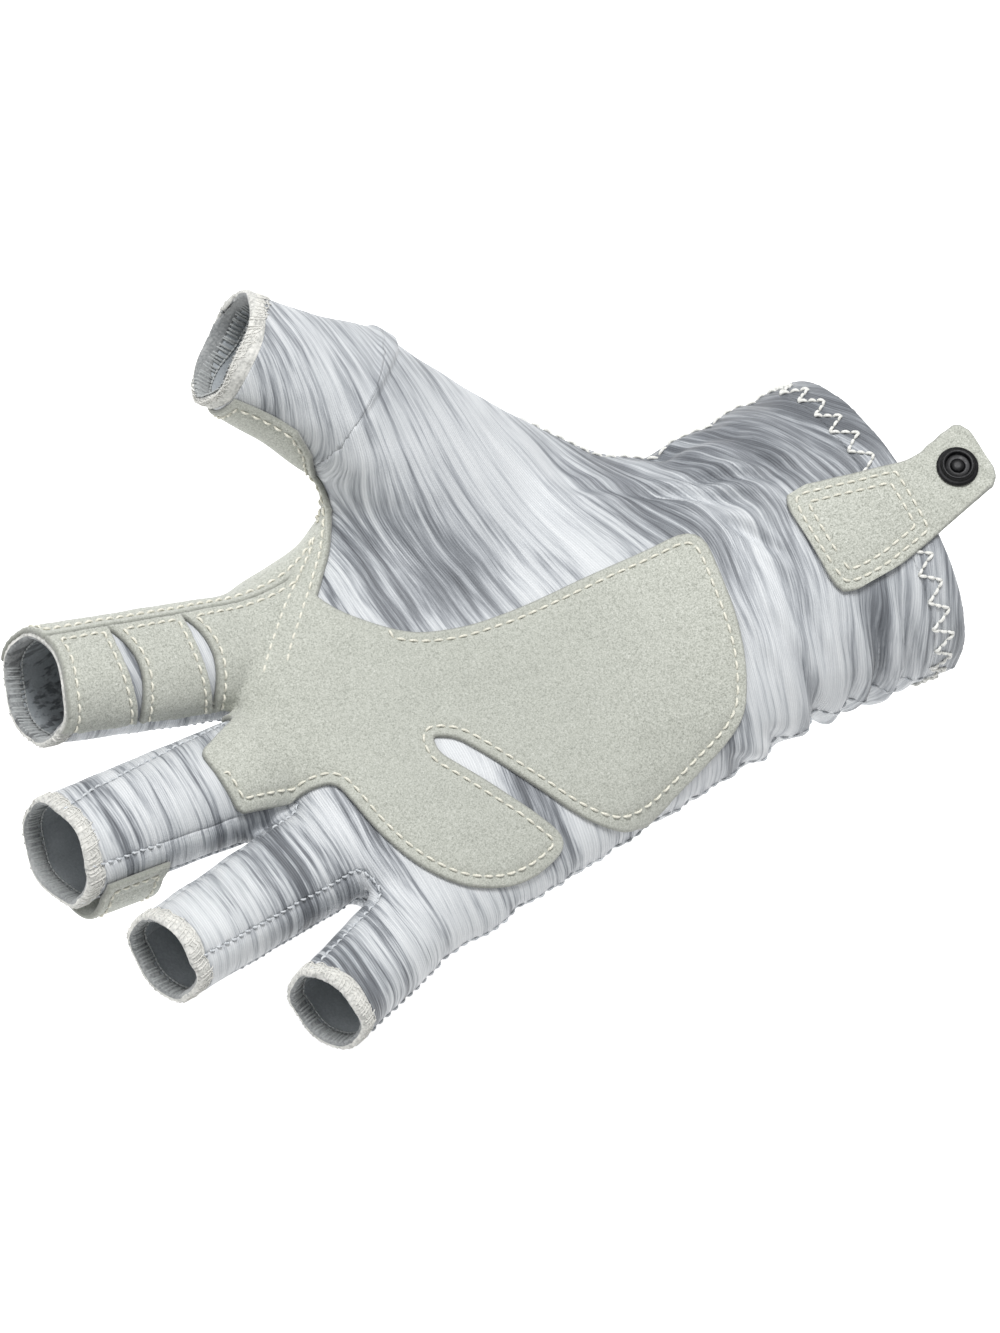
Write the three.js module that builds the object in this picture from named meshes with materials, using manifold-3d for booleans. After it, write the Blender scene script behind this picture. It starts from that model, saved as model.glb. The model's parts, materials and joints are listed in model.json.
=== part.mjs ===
// A fingerless fishing glove for the right hand, in the shape that it has when worn, palm up.
// Lengths are millimetres. The origin is in the plane of the wrist opening, near its middle. -X runs along the
// hand to the fingers, +Y is the thumb's side, and +Z is the palm's side.
import * as THREE from "three";
import { mergeVertices } from "three/addons/utils/BufferGeometryUtils.js";
import Module from "manifold-3d";

const wasm = await Module();
wasm.setup();

// Driving sizes of the hand part
const HAND_LENGTH = 146; // wrist opening to the crotches between the fingers
const PALM_WIDTH = 92; // across the knuckles
const PALM_DEPTH = 30; // back of the hand to palm, at the knuckles
const KNUCKLE_SLANT = 9; // how much earlier the little finger starts than the middle one
const FINGER_LENGTH = 55; // middle finger, knuckle to cut end
const FINGER_WIDTH = 23.6; // middle finger
const THUMB_WIDTH = 34; // at the thumb seam

// Cloth, suede and the clearance between pieces
const CLOTH = 1.2;
const SUEDE = 1.3;
const GAP = 0.3;
const FINGER_HEM = 3.6; // overlocked edge at each finger's end
const CUFF_HEM = 7.5; // turned hem at the wrist
const CUFF_HEM_THICKNESS = 2.2;
const FOURCHETTE = 10; // height of the strips along the sides of the fingers
const FAR = 300; // beyond the glove in any direction
const CROTCH_START = 0.9; // share of HAND_LENGTH past which the cloth turns in to close between the fingers

// Facets round the hand part and round a finger, and the power of a finger's superellipse section
const HAND_SIDES = 28;
const FINGER_SIDES = 16;
const FINGER_SQUARE = 2.3;

// Sections of the hand part. at: share of HAND_LENGTH from the wrist opening. little, thumb: reach to either
// side, shares of PALM_WIDTH. middle, half: height of the section's centre and its half depth, shares of
// PALM_DEPTH. lift: rise of its thumb side, share of PALM_DEPTH. square: the superellipse's power.
const HAND_SECTIONS = [
  { at: 0.0, little: 0.458, thumb: 0.335, middle: 0.165, half: 0.965, lift: 0, square: 2.1 },
  { at: 0.12, little: 0.438, thumb: 0.345, middle: 0.12, half: 0.88, lift: 0, square: 2.15 },
  { at: 0.25, little: 0.433, thumb: 0.345, middle: 0.06, half: 0.77, lift: 0.05, square: 2.2 },
  { at: 0.4, little: 0.452, thumb: 0.42, middle: 0.02, half: 0.67, lift: 0.2, square: 2.3 },
  { at: 0.55, little: 0.468, thumb: 0.53, middle: -0.02, half: 0.59, lift: 0.35, square: 2.4 },
  { at: 0.66, little: 0.482, thumb: 0.63, middle: -0.03, half: 0.54, lift: 0.35, square: 2.3 },
  { at: 0.7, little: 0.485, thumb: 0.6, middle: -0.03, half: 0.53, lift: 0.25, square: 2.3 },
  { at: 0.74, little: 0.488, thumb: 0.54, middle: -0.03, half: 0.52, lift: 0.15, square: 2.4 },
  { at: 0.8, little: 0.492, thumb: 0.5, middle: -0.03, half: 0.51, lift: 0.06, square: 2.4 },
  { at: 0.87, little: 0.515, thumb: 0.487, middle: -0.02, half: 0.485, lift: 0, square: 2.5 },
  { at: 0.95, little: 0.52, thumb: 0.468, middle: 0.0, half: 0.44, lift: 0, square: 2.4 },
  { at: 0.985, little: 0.505, thumb: 0.455, middle: 0.02, half: 0.34, lift: 0, square: 2.3 },
  { at: 1.0, little: 0.49, thumb: 0.43, middle: 0.03, half: 0.18, lift: 0, square: 2.2 },
];

// Where rings of the hand part are set, shares of HAND_LENGTH: close together where the cloth gathers
const HAND_RINGS = [
  0, 0.085, 0.115, 0.145, 0.175, 0.205, 0.235, 0.27, 0.31, 0.35, 0.4, 0.47, 0.55, 0.61, 0.66, 0.7, 0.74, 0.8,
  0.87, 0.93, 0.97, 1,
];

// Folds and gathers of the hand part. at: middle of the fold, share of HAND_LENGTH. side: degrees round the
// section, 0 on the little finger's side and 90 on the palm. reach: degrees to either side. slant: how much
// further from the wrist it runs per 90 degrees, share of HAND_LENGTH. breadth, depth: shares of PALM_DEPTH.
const FOLDS = [
  { at: 0.085, side: 12, reach: 32, slant: 0.01, breadth: 0.12, depth: 0.045 },
  { at: 0.145, side: 10, reach: 34, slant: 0.03, breadth: 0.12, depth: 0.055 },
  { at: 0.205, side: 8, reach: 36, slant: 0.06, breadth: 0.13, depth: 0.06 },
  { at: 0.27, side: 20, reach: 40, slant: 0.12, breadth: 0.16, depth: 0.06 },
  { at: 0.33, side: 125, reach: 30, slant: -0.14, breadth: 0.2, depth: 0.05 },
  { at: 0.24, side: 205, reach: 30, slant: 0.05, breadth: 0.18, depth: 0.05 },
  { at: 0.3, side: 300, reach: 40, slant: 0.08, breadth: 0.22, depth: 0.045 },
];

// Fingers. along, across: knuckle centre, shares of HAND_LENGTH and PALM_WIDTH. splay: degrees towards the
// thumb. curl: degrees towards the palm. length: share of FINGER_LENGTH. base, tip: shares of FINGER_WIDTH.
const FINGERS = [
  { name: "index", along: 0.945, across: 0.335, splay: 5.7, curl: 23, length: 0.965, base: 1.03, tip: 0.97 },
  { name: "middle", along: 0.998, across: 0.06, splay: -2, curl: 15.5, length: 1.0, base: 1.05, tip: 0.97 },
  { name: "ring", along: 0.974, across: -0.183, splay: -11.7, curl: 17.5, length: 0.95, base: 0.94, tip: 0.8 },
  { name: "little", along: 0.93, across: -0.42, splay: -21, curl: 17.5, length: 0.61, base: 0.83, tip: 0.77 },
];
const FINGER_FLATNESS = 0.95; // depth over width
const ROOT_LENGTH = 24; // how far a finger tube starts inside the palm
const BEND_SHARE = 0.16; // share of a finger within which it turns to its curl

// Thumb. along, across, rise: shares of HAND_LENGTH, PALM_WIDTH and PALM_DEPTH. width, depth: shares of
// THUMB_WIDTH. splay, curl: degrees that the row's plane faces towards the thumb and the palm.
const THUMB_ROWS = [
  { along: 0.4, across: 0.1, rise: -0.05, width: 1.8, depth: 0.6, splay: 52, curl: 12 },
  { along: 0.47, across: 0.26, rise: 0.1, width: 1.65, depth: 0.76, splay: 50, curl: 14 },
  { along: 0.55, across: 0.44, rise: 0.36, width: 1.35, depth: 0.84, splay: 46, curl: 18 },
  { along: 0.658, across: 0.7, rise: 0.83, width: 0.98, depth: 0.86, splay: 42, curl: 20 },
  { along: 0.725, across: 0.79, rise: 1.0, width: 0.8, depth: 0.76, splay: 46, curl: 19 },
  { along: 0.805, across: 0.895, rise: 1.2, width: 0.73, depth: 0.7, splay: 53, curl: 18 },
];
const THUMB_SEAM_ROW = 3;

// Height at which the palm's cloth meets the back's, on either side. along, rise: shares of HAND_LENGTH and
// PALM_DEPTH.
const LITTLE_SIDE_SEAM = [
  { along: -0.1, rise: 0.14 },
  { along: 0.3, rise: 0.07 },
  { along: 0.7, rise: -0.04 },
  { along: 0.945, rise: 0.0 },
  { along: 1.45, rise: 0.76 },
];
const THUMB_SIDE_SEAM = [
  { along: -0.1, rise: 0.5 },
  { along: 0.22, rise: 0.5 },
  { along: 0.42, rise: 0.3 },
  { along: 0.75, rise: 0.0 },
  { along: 0.945, rise: 0.0 },
  { along: 1.45, rise: 1.04 },
];
const SEAM_CHANGE = 0.2; // share of PALM_WIDTH at which one seam's height gives way to the other's

// Strips along the facing sides of two fingers. from: crotch end, share of HAND_LENGTH. low, high: shares of
// PALM_WIDTH. curl: degrees towards the palm.
const FOURCHETTES = [
  { name: "index_middle", from: 0.955, low: 0.055, high: 0.34, curl: 19 },
  { name: "middle_ring", from: 0.955, low: -0.225, high: 0.035, curl: 16.5 },
  { name: "ring_little", from: 0.905, low: -0.475, high: -0.27, curl: 17.5 },
];

// Outline of the palm's suede patch. along, across: shares of HAND_LENGTH and PALM_WIDTH. round: how far a
// corner is rounded, share of PALM_WIDTH.
const PALM_PATCH = [
  { along: 0.836, across: 0.48, round: 0.01 },
  { along: 0.82, across: 0.295, round: 0.06 },
  { along: 0.755, across: 0.165, round: 0.09 },
  { along: 0.7, across: 0.12, round: 0.15 },
  { along: 0.62, across: 0.09, round: 0.3 },
  { along: 0.5, across: 0.078, round: 0.3 },
  { along: 0.29, across: 0.058, round: 0.08 },
  { along: 0.335, across: -0.34, round: 0.09 },
  { along: 0.375, across: -0.415, round: 0.08 },
  { along: 0.48, across: -0.45, round: 0.15 },
  { along: 0.6, across: -0.472, round: 0.07 },
  { along: 0.66, across: -0.395, round: 0.1 },
  { along: 0.7, across: -0.29, round: 0.1 },
  { along: 0.765, across: -0.12, round: 0.03 },
  { along: 0.795, across: -0.095, round: 0.012 },
  { along: 0.799, across: -0.135, round: 0.02 },
  { along: 0.76, across: -0.235, round: 0.1 },
  { along: 0.68, across: -0.44, round: 0.06 },
  { along: 0.78, across: -0.475, round: 0.08 },
  { along: 0.87, across: -0.43, round: 0.12 },
  { along: 0.93, across: -0.29, round: 0.12 },
  { along: 0.952, across: -0.085, round: 0.03 },
  { along: 1.0, across: -0.062, round: 0.1 },
  { along: 1.1, across: -0.05, round: 0.02 },
  { along: 1.11, across: 0.1, round: 0.02 },
  { along: 1.02, across: 0.165, round: 0.03 },
  { along: 1.04, across: 0.203, round: 0.01 },
  { along: 1.38, across: 0.21, round: 0.01 },
  { along: 1.38, across: 0.48, round: 0.01 },
];

// The thumb-side patch from above: its seam to the palm patch, then well clear of the hand. Same columns.
const SIDE_PATCH = [
  { along: 1.38, across: 0.462, round: 0.01 },
  { along: 1.2, across: 0.441, round: 0.3 },
  { along: 1.03, across: 0.418, round: 0.2 },
  { along: 0.96, across: 0.414, round: 0.1 },
  { along: 0.85, across: 0.405, round: 0.1 },
  { along: 0.79, across: 0.44, round: 0.05 },
  { along: 0.75, across: 0.48, round: 0.05 },
  { along: 0.718, across: 0.55, round: 0.03 },
  { along: 0.69, across: 0.6, round: 0.01 },
  { along: 0.69, across: 0.72, round: 0.01 },
  { along: 0.8, across: 0.6, round: 0.01 },
  { along: 1.38, across: 0.6, round: 0.01 },
];
const SIDE_PATCH_DROP = 5.5; // how far its other edge lies below the seam of the cloth
const WEB_RISE = 0.45; // share of PALM_DEPTH at which it passes from the web to the thumb
const WEB_END = 0.85; // share of HAND_LENGTH up to which it is the web
const PALM_PATCH_LIFT = 1; // how far the palm patch stops above that seam

// The same patch on the thumb, seen across it. out: along the thumb from its seam, share of THUMB_WIDTH.
// rise: towards the palm from the thumb's middle, share of THUMB_WIDTH.
const THUMB_PATCH = [
  { out: -0.3, rise: -0.5 },
  { out: -0.3, rise: -0.34 },
  { out: -0.02, rise: -0.22 },
  { out: 0.12, rise: 0.0 },
  { out: 0.3, rise: 0.13 },
  { out: 1.2, rise: 0.11 },
  { out: 1.2, rise: -0.3 },
  { out: 0.3, rise: -0.36 },
];

// Slits that let the index finger bend. along, across: shares of HAND_LENGTH and PALM_WIDTH at the middle of
// each. length, breadth: shares of FINGER_WIDTH. bow: how far the middle bends to the wrist, same share.
const FLEX_SLITS = [
  { along: 1.155, across: 0.33, length: 0.76, breadth: 0.13, bow: 0.06 },
  { along: 1.035, across: 0.316, length: 0.76, breadth: 0.12, bow: 0.06 },
];

// Wrist tab. out: share of TAB_LENGTH outwards from the wrist opening. thumb, little: reach of its edges,
// shares of PALM_WIDTH.
const TAB_LENGTH = 43;
const TAB_ROWS = [
  { out: -0.6, thumb: 0.002, little: -0.235 },
  { out: -0.575, thumb: 0.016, little: -0.25 },
  { out: -0.5, thumb: 0.017, little: -0.26 },
  { out: -0.4, thumb: 0.0, little: -0.264 },
  { out: -0.3, thumb: -0.012, little: -0.263 },
  { out: -0.2, thumb: -0.028, little: -0.257 },
  { out: -0.1, thumb: -0.043, little: -0.25 },
  { out: 0.0, thumb: -0.058, little: -0.242 },
  { out: 0.1, thumb: -0.062, little: -0.236 },
  { out: 0.22, thumb: -0.047, little: -0.226 },
  { out: 0.36, thumb: -0.036, little: -0.21 },
  { out: 0.39, thumb: -0.046, little: -0.2 },
];
const TAB_FACETS = 6; // across the tab
const TAB_SLOPE = 0.15; // rise of the free end away from the cuff
const TAB_FLATTENING = 4; // how far past the cuff the tab has become flat

// Snap on the tab's free end. radius, height: shares of SNAP_RADIUS, height from the snap's underside.
const SNAP_RADIUS = 4.5;
const SNAP_OUT = 9.5; // its centre, outwards from the wrist opening
const SNAP_ACROSS = -12.6;
const SNAP_SIDES = 24;
const SNAP_SOCKET = [
  { radius: 1.0, height: 0.0 },
  { radius: 1.0, height: 0.12 },
  { radius: 0.92, height: 0.2 },
  { radius: 0.8, height: 0.22 },
  { radius: 0.76, height: 0.38 },
  { radius: 0.6, height: 0.38 },
  { radius: 0.55, height: 0.14 },
  { radius: 0.32, height: 0.14 },
  { radius: 0.26, height: 0.26 },
];
const SNAP_POST_RADIUS = 1.3;
const SNAP_CAP_RADIUS = 4.2;
const SNAP_CAP_THICKNESS = 0.9;
const SNAP_CAP_BEVEL = 0.35;

// Pull loop on the back of the middle finger. from, to: degrees round the finger, 0 on the little finger's
// side. flat: share of its run that is sewn down at either end.
const LOOP_LENGTH = 15.5;
const LOOP_FROM = -128;
const LOOP_TO = 12;
const LOOP_FACETS = 12;
const LOOP_RISE = 3.1;
const LOOP_FLAT = 0.14;
const LOOP_INSET = 1; // from the finger's hem

function superellipse(angle, halfWidth, halfDepth, square) {
  const power = 2 / square;
  const c = Math.cos(angle);
  const s = Math.sin(angle);
  return [
    halfWidth * Math.sign(c) * Math.abs(c) ** power,
    halfDepth * Math.sign(s) * Math.abs(s) ** power,
  ];
}

// One closed surface through rings of points, with a fan over each end ring. The rings of a band run along it
// and then back under it, and its ends are closed straight across.
function loft(rings, banded = false) {
  const sides = rings[0].length;
  const points = rings.flat();
  const faces = [];
  const corner = (ring, side) => ring * sides + (side % sides);
  for (let ring = 0; ring + 1 < rings.length; ring += 1) {
    for (let side = 0; side < sides; side += 1) {
      const a = corner(ring, side);
      const b = corner(ring, side + 1);
      const c = corner(ring + 1, side);
      const d = corner(ring + 1, side + 1);
      faces.push(a, b, c, b, d, c);
    }
  }
  const last = rings.length - 1;
  for (const [ring, turn] of [[0, 1], [last, 0]]) {
    if (banded) {
      for (let side = 0; side + 1 < sides / 2; side += 1) {
        const spots = [side, side + 1, sides - 2 - side, sides - 1 - side];
        const [a, b, c, d] = spots.map((spot) => corner(ring, spot));
        if (ring === 0) faces.push(a, c, b, a, d, c);
        else faces.push(a, b, c, a, c, d);
      }
      continue;
    }
    const centre = rings[ring].reduce((sum, p) => sum.add(p), new THREE.Vector3()).divideScalar(sides);
    const hub = points.push(centre) - 1;
    for (let side = 0; side < sides; side += 1) {
      faces.push(hub, corner(ring, side + turn), corner(ring, side + 1 - turn));
    }
  }
  return new THREE.BufferGeometry().setFromPoints(points).setIndex(faces);
}

function solid(geometry) {
  const bare = geometry.clone();
  bare.deleteAttribute("normal");
  bare.deleteAttribute("uv");
  const merged = mergeVertices(bare, 1e-4);
  return new wasm.Manifold(
    new wasm.Mesh({
      numProp: 3,
      vertProperties: merged.attributes.position.array,
      triVerts: new Uint32Array(merged.index.array),
    }),
  );
}

// A closed outline seen from the palm, with rounded corners.
function outline(rows, shift = 0) {
  const corners = rows.map(
    (row) => new THREE.Vector2(-row.along * HAND_LENGTH, row.across * PALM_WIDTH + shift),
  );
  const shape = new THREE.Shape();
  corners.forEach((corner, i) => {
    const radius = rows[i].round * PALM_WIDTH;
    const towards = (other) => corner.clone().lerp(other, Math.min(0.5, radius / corner.distanceTo(other)));
    const start = towards(corners.at(i - 1));
    const end = towards(corners[(i + 1) % corners.length]);
    if (i === 0) shape.moveTo(start.x, start.y);
    else shape.lineTo(start.x, start.y);
    shape.quadraticCurveTo(corner.x, corner.y, end.x, end.y);
  });
  shape.closePath();
  return shape;
}

// A shape carried along its own normal, which is turned to direction, with its Y axis turned to upwards.
function prism(shape, origin, direction, upwards, length) {
  const geometry = new THREE.ExtrudeGeometry(shape, { depth: length, bevelEnabled: false, curveSegments: 3 });
  const sideways = upwards.clone().cross(direction);
  const placed = new THREE.Matrix4().makeBasis(sideways, upwards, direction).setPosition(origin);
  return solid(geometry.applyMatrix4(placed));
}

function upright(shape, low) {
  return prism(shape, new THREE.Vector3(0, 0, low), new THREE.Vector3(0, 0, 1), new THREE.Vector3(0, 1, 0), FAR);
}

// A polygon of [x, z] points carried across the hand from low to high.
function crosswise(points, low, high) {
  const shape = new THREE.Shape(points.map(([x, z]) => new THREE.Vector2(-x, z)));
  return prism(shape, new THREE.Vector3(0, low, 0), new THREE.Vector3(0, 1, 0), new THREE.Vector3(0, 0, 1), high - low);
}

// The row of a table at a place between its rows, with every column blended.
function between(rows, key, place) {
  const next = Math.min(rows.length - 1, Math.max(1, rows.findIndex((row) => row[key] >= place)));
  const [low, high] = [rows[next - 1], rows[next]];
  const linear = THREE.MathUtils.mapLinear(place, low[key], high[key], 0, 1);
  const share = (linear + THREE.MathUtils.smoothstep(linear, 0, 1)) / 2;
  const blend = (name) => [name, THREE.MathUtils.lerp(low[name], high[name], share)];
  return Object.fromEntries(Object.keys(high).map(blend));
}

function foldDepth(place, degrees) {
  return FOLDS.reduce((sum, fold) => {
    const turn = ((degrees - fold.side + 540) % 360) - 180;
    const along = (place - fold.at - (fold.slant * turn) / 90) * HAND_LENGTH;
    const farness = (along / (fold.breadth * PALM_DEPTH)) ** 2 + (turn / fold.reach) ** 2;
    return sum + fold.depth * PALM_DEPTH * Math.exp(-farness);
  }, 0);
}

function handSection(place) {
  const section = between(HAND_SECTIONS, "at", place);
  return {
    centreY: ((section.thumb - section.little) * PALM_WIDTH) / 2,
    halfWidth: ((section.thumb + section.little) * PALM_WIDTH) / 2,
    halfDepth: section.half * PALM_DEPTH,
    middle: section.middle * PALM_DEPTH,
    lift: section.lift * PALM_DEPTH,
    square: section.square,
  };
}

// One ring of the hand part, grown outwards by outset and carried along by shift.
function handRing(place, outset, shift = 0) {
  const { centreY, halfWidth, halfDepth, middle, lift, square } = handSection(place);
  const endGrowth = outset * THREE.MathUtils.smoothstep(place, CROTCH_START, 1);
  return Array.from({ length: HAND_SIDES }, (_, side) => {
    const grown = outset - foldDepth(place, (360 * side) / HAND_SIDES);
    const angle = (2 * Math.PI * side) / HAND_SIDES;
    const [across, up] = superellipse(angle, halfWidth + grown, halfDepth + grown, square);
    const toLittle = Math.max(0, across / halfWidth);
    const toThumb = Math.max(0, -across / halfWidth);
    const slant = KNUCKLE_SLANT * place ** 3 * toLittle ** 2;
    const along = -place * HAND_LENGTH + slant + shift - endGrowth;
    return new THREE.Vector3(along, centreY - across, middle + lift * toThumb ** 2 + up);
  });
}

// Height of the palm's cloth on the wrist, away from the folds
function palmHeight(place, y) {
  const { centreY, halfWidth, halfDepth, middle, square } = handSection(place);
  const aside = Math.abs(y - centreY) / halfWidth;
  return middle + halfDepth * (1 - aside ** square) ** (1 / square);
}

function facing(splayDegrees, curlDegrees) {
  const splay = THREE.MathUtils.degToRad(splayDegrees);
  const curl = THREE.MathUtils.degToRad(curlDegrees);
  return new THREE.Vector3(-Math.cos(splay) * Math.cos(curl), Math.sin(splay) * Math.cos(curl), Math.sin(curl));
}

// A finger or thumb tube through rows of centre, axis, width and depth. Places along it are millimetres from
// its root.
class Tube {
  constructor(name, rows, seamRow) {
    this.name = name;
    this.rows = rows;
    this.stations = [0];
    rows.slice(1).forEach((row, i) => {
      this.stations.push(this.stations[i] + row.centre.distanceTo(rows[i].centre));
    });
    this.seam = this.stations[seamRow];
    this.end = this.stations.at(-1);
    this.hemStart = this.end - FINGER_HEM;
  }

  section(place) {
    const found = this.stations.findIndex((station) => station >= place);
    const next = found < 0 ? this.stations.length - 1 : Math.max(1, found);
    const span = this.stations[next] - this.stations[next - 1];
    const share = (place - this.stations[next - 1]) / span;
    const inside = THREE.MathUtils.clamp(share, 0, 1);
    const [low, high] = [this.rows[next - 1], this.rows[next]];
    const axis = low.axis.clone().lerp(high.axis, inside).normalize();
    const centre = low.centre.clone().lerp(high.centre, inside);
    centre.addScaledVector(axis, (share - inside) * span);
    const palmward = new THREE.Vector3(0, 0, 1).addScaledVector(axis, -axis.z).normalize();
    const across = palmward.clone().cross(axis);
    const halfWidth = THREE.MathUtils.lerp(low.width, high.width, inside) / 2;
    const halfDepth = THREE.MathUtils.lerp(low.depth, high.depth, inside) / 2;
    return { axis, centre, palmward, across, halfWidth, halfDepth };
  }

  point(place, angle, outset) {
    const { centre, palmward, across, halfWidth, halfDepth } = this.section(place);
    const [x, y] = superellipse(angle, halfWidth + outset, halfDepth + outset, FINGER_SQUARE);
    return centre.clone().addScaledVector(across, x).addScaledVector(palmward, y);
  }

  ring(place, outset) {
    const angles = Array.from({ length: FINGER_SIDES }, (_, side) => (2 * Math.PI * side) / FINGER_SIDES);
    return angles.map((angle) => this.point(place, angle, outset));
  }

  form(outset, from, to) {
    const last = Math.min(to, this.end) - GAP;
    const places = [from, ...this.stations.filter((station) => station > from + GAP && station < last), to];
    return solid(loft(places.map((place) => this.ring(place, outset))));
  }

  shell(from, to) {
    return this.form(0, from, to).subtract(this.form(-CLOTH, from - CLOTH, to + CLOTH));
  }
}

function fingerTube(finger) {
  const straight = facing(finger.splay, 0);
  const curled = facing(finger.splay, finger.curl);
  const length = finger.length * FINGER_LENGTH;
  const knuckle = new THREE.Vector3(-finger.along * HAND_LENGTH, finger.across * PALM_WIDTH, 0);
  const row = (centre, axis, share) => {
    const width = FINGER_WIDTH * share;
    return { centre, axis, width, depth: width * FINGER_FLATNESS };
  };
  const rows = [
    row(knuckle.clone().addScaledVector(straight, -ROOT_LENGTH), straight, finger.base),
    row(knuckle, facing(finger.splay, finger.curl / 2), finger.base),
    row(knuckle.clone().addScaledVector(curled, length * BEND_SHARE), curled, finger.base),
    row(knuckle.clone().addScaledVector(curled, length), curled, finger.tip),
  ];
  return new Tube(finger.name, rows, 2);
}

const thumbRows = THUMB_ROWS.map((row) => ({
  centre: new THREE.Vector3(-row.along * HAND_LENGTH, row.across * PALM_WIDTH, row.rise * PALM_DEPTH),
  axis: facing(row.splay, row.curl),
  width: row.width * THUMB_WIDTH,
  depth: row.depth * THUMB_WIDTH,
}));

const fingers = FINGERS.map(fingerTube);
const thumb = new Tube("thumb", thumbRows, THUMB_SEAM_ROW);
const index = fingers.find((finger) => finger.name === "index");
const middle = fingers.find((finger) => finger.name === "middle");

// The glove's form, grown outwards by outset. first: place of its wrist end. opened: extra length at the
// wrist. reach: where each tube ends.
function gloveForm(outset, first, opened, reach) {
  const places = [first, ...HAND_RINGS.filter((place) => place > first)];
  const rings = places.map((place) => handRing(place, outset, place === first ? opened : 0));
  const tubes = [...fingers, thumb].map((tube) => tube.form(outset, 0, reach(tube)));
  return tubes.reduce((form, tube) => form.add(tube), solid(loft(rings)));
}

// Everything on the palm's side of the side seams, with the seams lowered by drop.
function palmSide(drop) {
  const above = (rows, low, high) => {
    const edge = rows.map((row) => [-row.along * HAND_LENGTH, row.rise * PALM_DEPTH - drop]);
    return crosswise([...edge, [edge.at(-1)[0], FAR], [edge[0][0], FAR]], low, high);
  };
  const change = SEAM_CHANGE * PALM_WIDTH;
  return above(LITTLE_SIDE_SEAM, -FAR, change).add(above(THUMB_SIDE_SEAM, change - GAP, FAR));
}

function fourchetteRegion(strip, grown) {
  const start = -strip.from * HAND_LENGTH + grown;
  const end = start - FAR;
  const climb = (start - end) * Math.tan(THREE.MathUtils.degToRad(strip.curl));
  const half = FOURCHETTE / 2 + grown;
  const points = [[start, -half], [start, half], [end, climb + half], [end, climb - half]];
  return crosswise(points, strip.low * PALM_WIDTH, strip.high * PALM_WIDTH);
}

const cuffEnd = (CUFF_HEM + GAP) / HAND_LENGTH;
const clothEnd = (tube) => (tube === thumb ? tube.seam : tube.hemStart - GAP);
const cloth = gloveForm(0, cuffEnd, 0, clothEnd)
  .subtract(gloveForm(-CLOTH, cuffEnd, CLOTH, (tube) => clothEnd(tube) + CLOTH));
const fourchettes = FOURCHETTES.map((strip) => cloth.intersect(fourchetteRegion(strip, 0)));
const panels = FOURCHETTES.reduce((rest, strip) => rest.subtract(fourchetteRegion(strip, GAP)), cloth);

// Suede lies on the cloth as one layer, from which the patches are cut.
const suedeEnd = (tube) => (tube === index ? tube.end : tube.hemStart - GAP);
const suede = gloveForm(GAP + SUEDE, cuffEnd, 0, suedeEnd)
  .subtract(gloveForm(GAP, cuffEnd, GAP, (tube) => suedeEnd(tube) + GAP));

function flexSlit(slit) {
  const fingerwards = facing(FINGERS[0].splay, 0);
  const along = new THREE.Vector2(-fingerwards.x, -fingerwards.y);
  const aside = new THREE.Vector2(-along.y, along.x);
  const centre = new THREE.Vector2(-slit.along * HAND_LENGTH, slit.across * PALM_WIDTH);
  const spot = (side, out) =>
    centre.clone().addScaledVector(aside, side * FINGER_WIDTH).addScaledVector(along, out * FINGER_WIDTH);
  const low = spot(-slit.length / 2, 0);
  const high = spot(slit.length / 2, 0);
  const near = spot(0, 2 * slit.bow + slit.breadth);
  const past = spot(0, 2 * slit.bow - slit.breadth);
  const shape = new THREE.Shape();
  shape.moveTo(low.x, low.y);
  shape.quadraticCurveTo(near.x, near.y, high.x, high.y);
  shape.quadraticCurveTo(past.x, past.y, low.x, low.y);
  return upright(shape, 0);
}

function thumbPatchRegion() {
  const { centre, palmward, across } = thumb.section(thumb.seam);
  const corners = THUMB_PATCH.map((row) => new THREE.Vector2(-row.out * THUMB_WIDTH, row.rise * THUMB_WIDTH));
  return prism(new THREE.Shape(corners), centre, across, palmward, THUMB_WIDTH);
}

function aboveWeb() {
  const [start, end] = [0, -WEB_END * HAND_LENGTH];
  const low = WEB_RISE * PALM_DEPTH;
  return crosswise([[start, low], [end, low], [end, FAR], [start, FAR]], -FAR, FAR);
}

const sideRegion = upright(outline(SIDE_PATCH), -FAR / 2)
  .intersect(palmSide(SIDE_PATCH_DROP))
  .subtract(aboveWeb())
  .add(thumbPatchRegion());
const palmRegion = upright(outline(PALM_PATCH), 0)
  .intersect(palmSide(-PALM_PATCH_LIFT))
  .subtract(upright(outline(SIDE_PATCH, -GAP), -FAR / 2));
const uncutPatch = suede.intersect(palmRegion);
const palmPatch = FLEX_SLITS.map(flexSlit).reduce((patch, slit) => patch.subtract(slit), uncutPatch);

// The tab follows the cloth's curve up to the cuff and flattens past it.
const tabBase = palmHeight(0, handSection(0).centreY) + GAP;

function tabHeight(x, y) {
  if (x <= 0) return palmHeight(-x / HAND_LENGTH, y) + GAP;
  const flatness = THREE.MathUtils.smoothstep(x, 0, TAB_FLATTENING);
  return THREE.MathUtils.lerp(palmHeight(0, y) + GAP, tabBase + TAB_SLOPE * x, flatness);
}

function tab() {
  const rings = TAB_ROWS.map((row) => {
    const x = row.out * TAB_LENGTH;
    const spots = Array.from({ length: TAB_FACETS + 1 }, (_, i) => {
      const y = THREE.MathUtils.lerp(row.thumb, row.little, i / TAB_FACETS) * PALM_WIDTH;
      return new THREE.Vector3(x, y, tabHeight(x, y));
    });
    const top = spots.map((spot) => spot.clone().setZ(spot.z + SUEDE));
    return [...top, ...spots.reverse()];
  });
  return solid(loft(rings, true));
}

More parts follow.
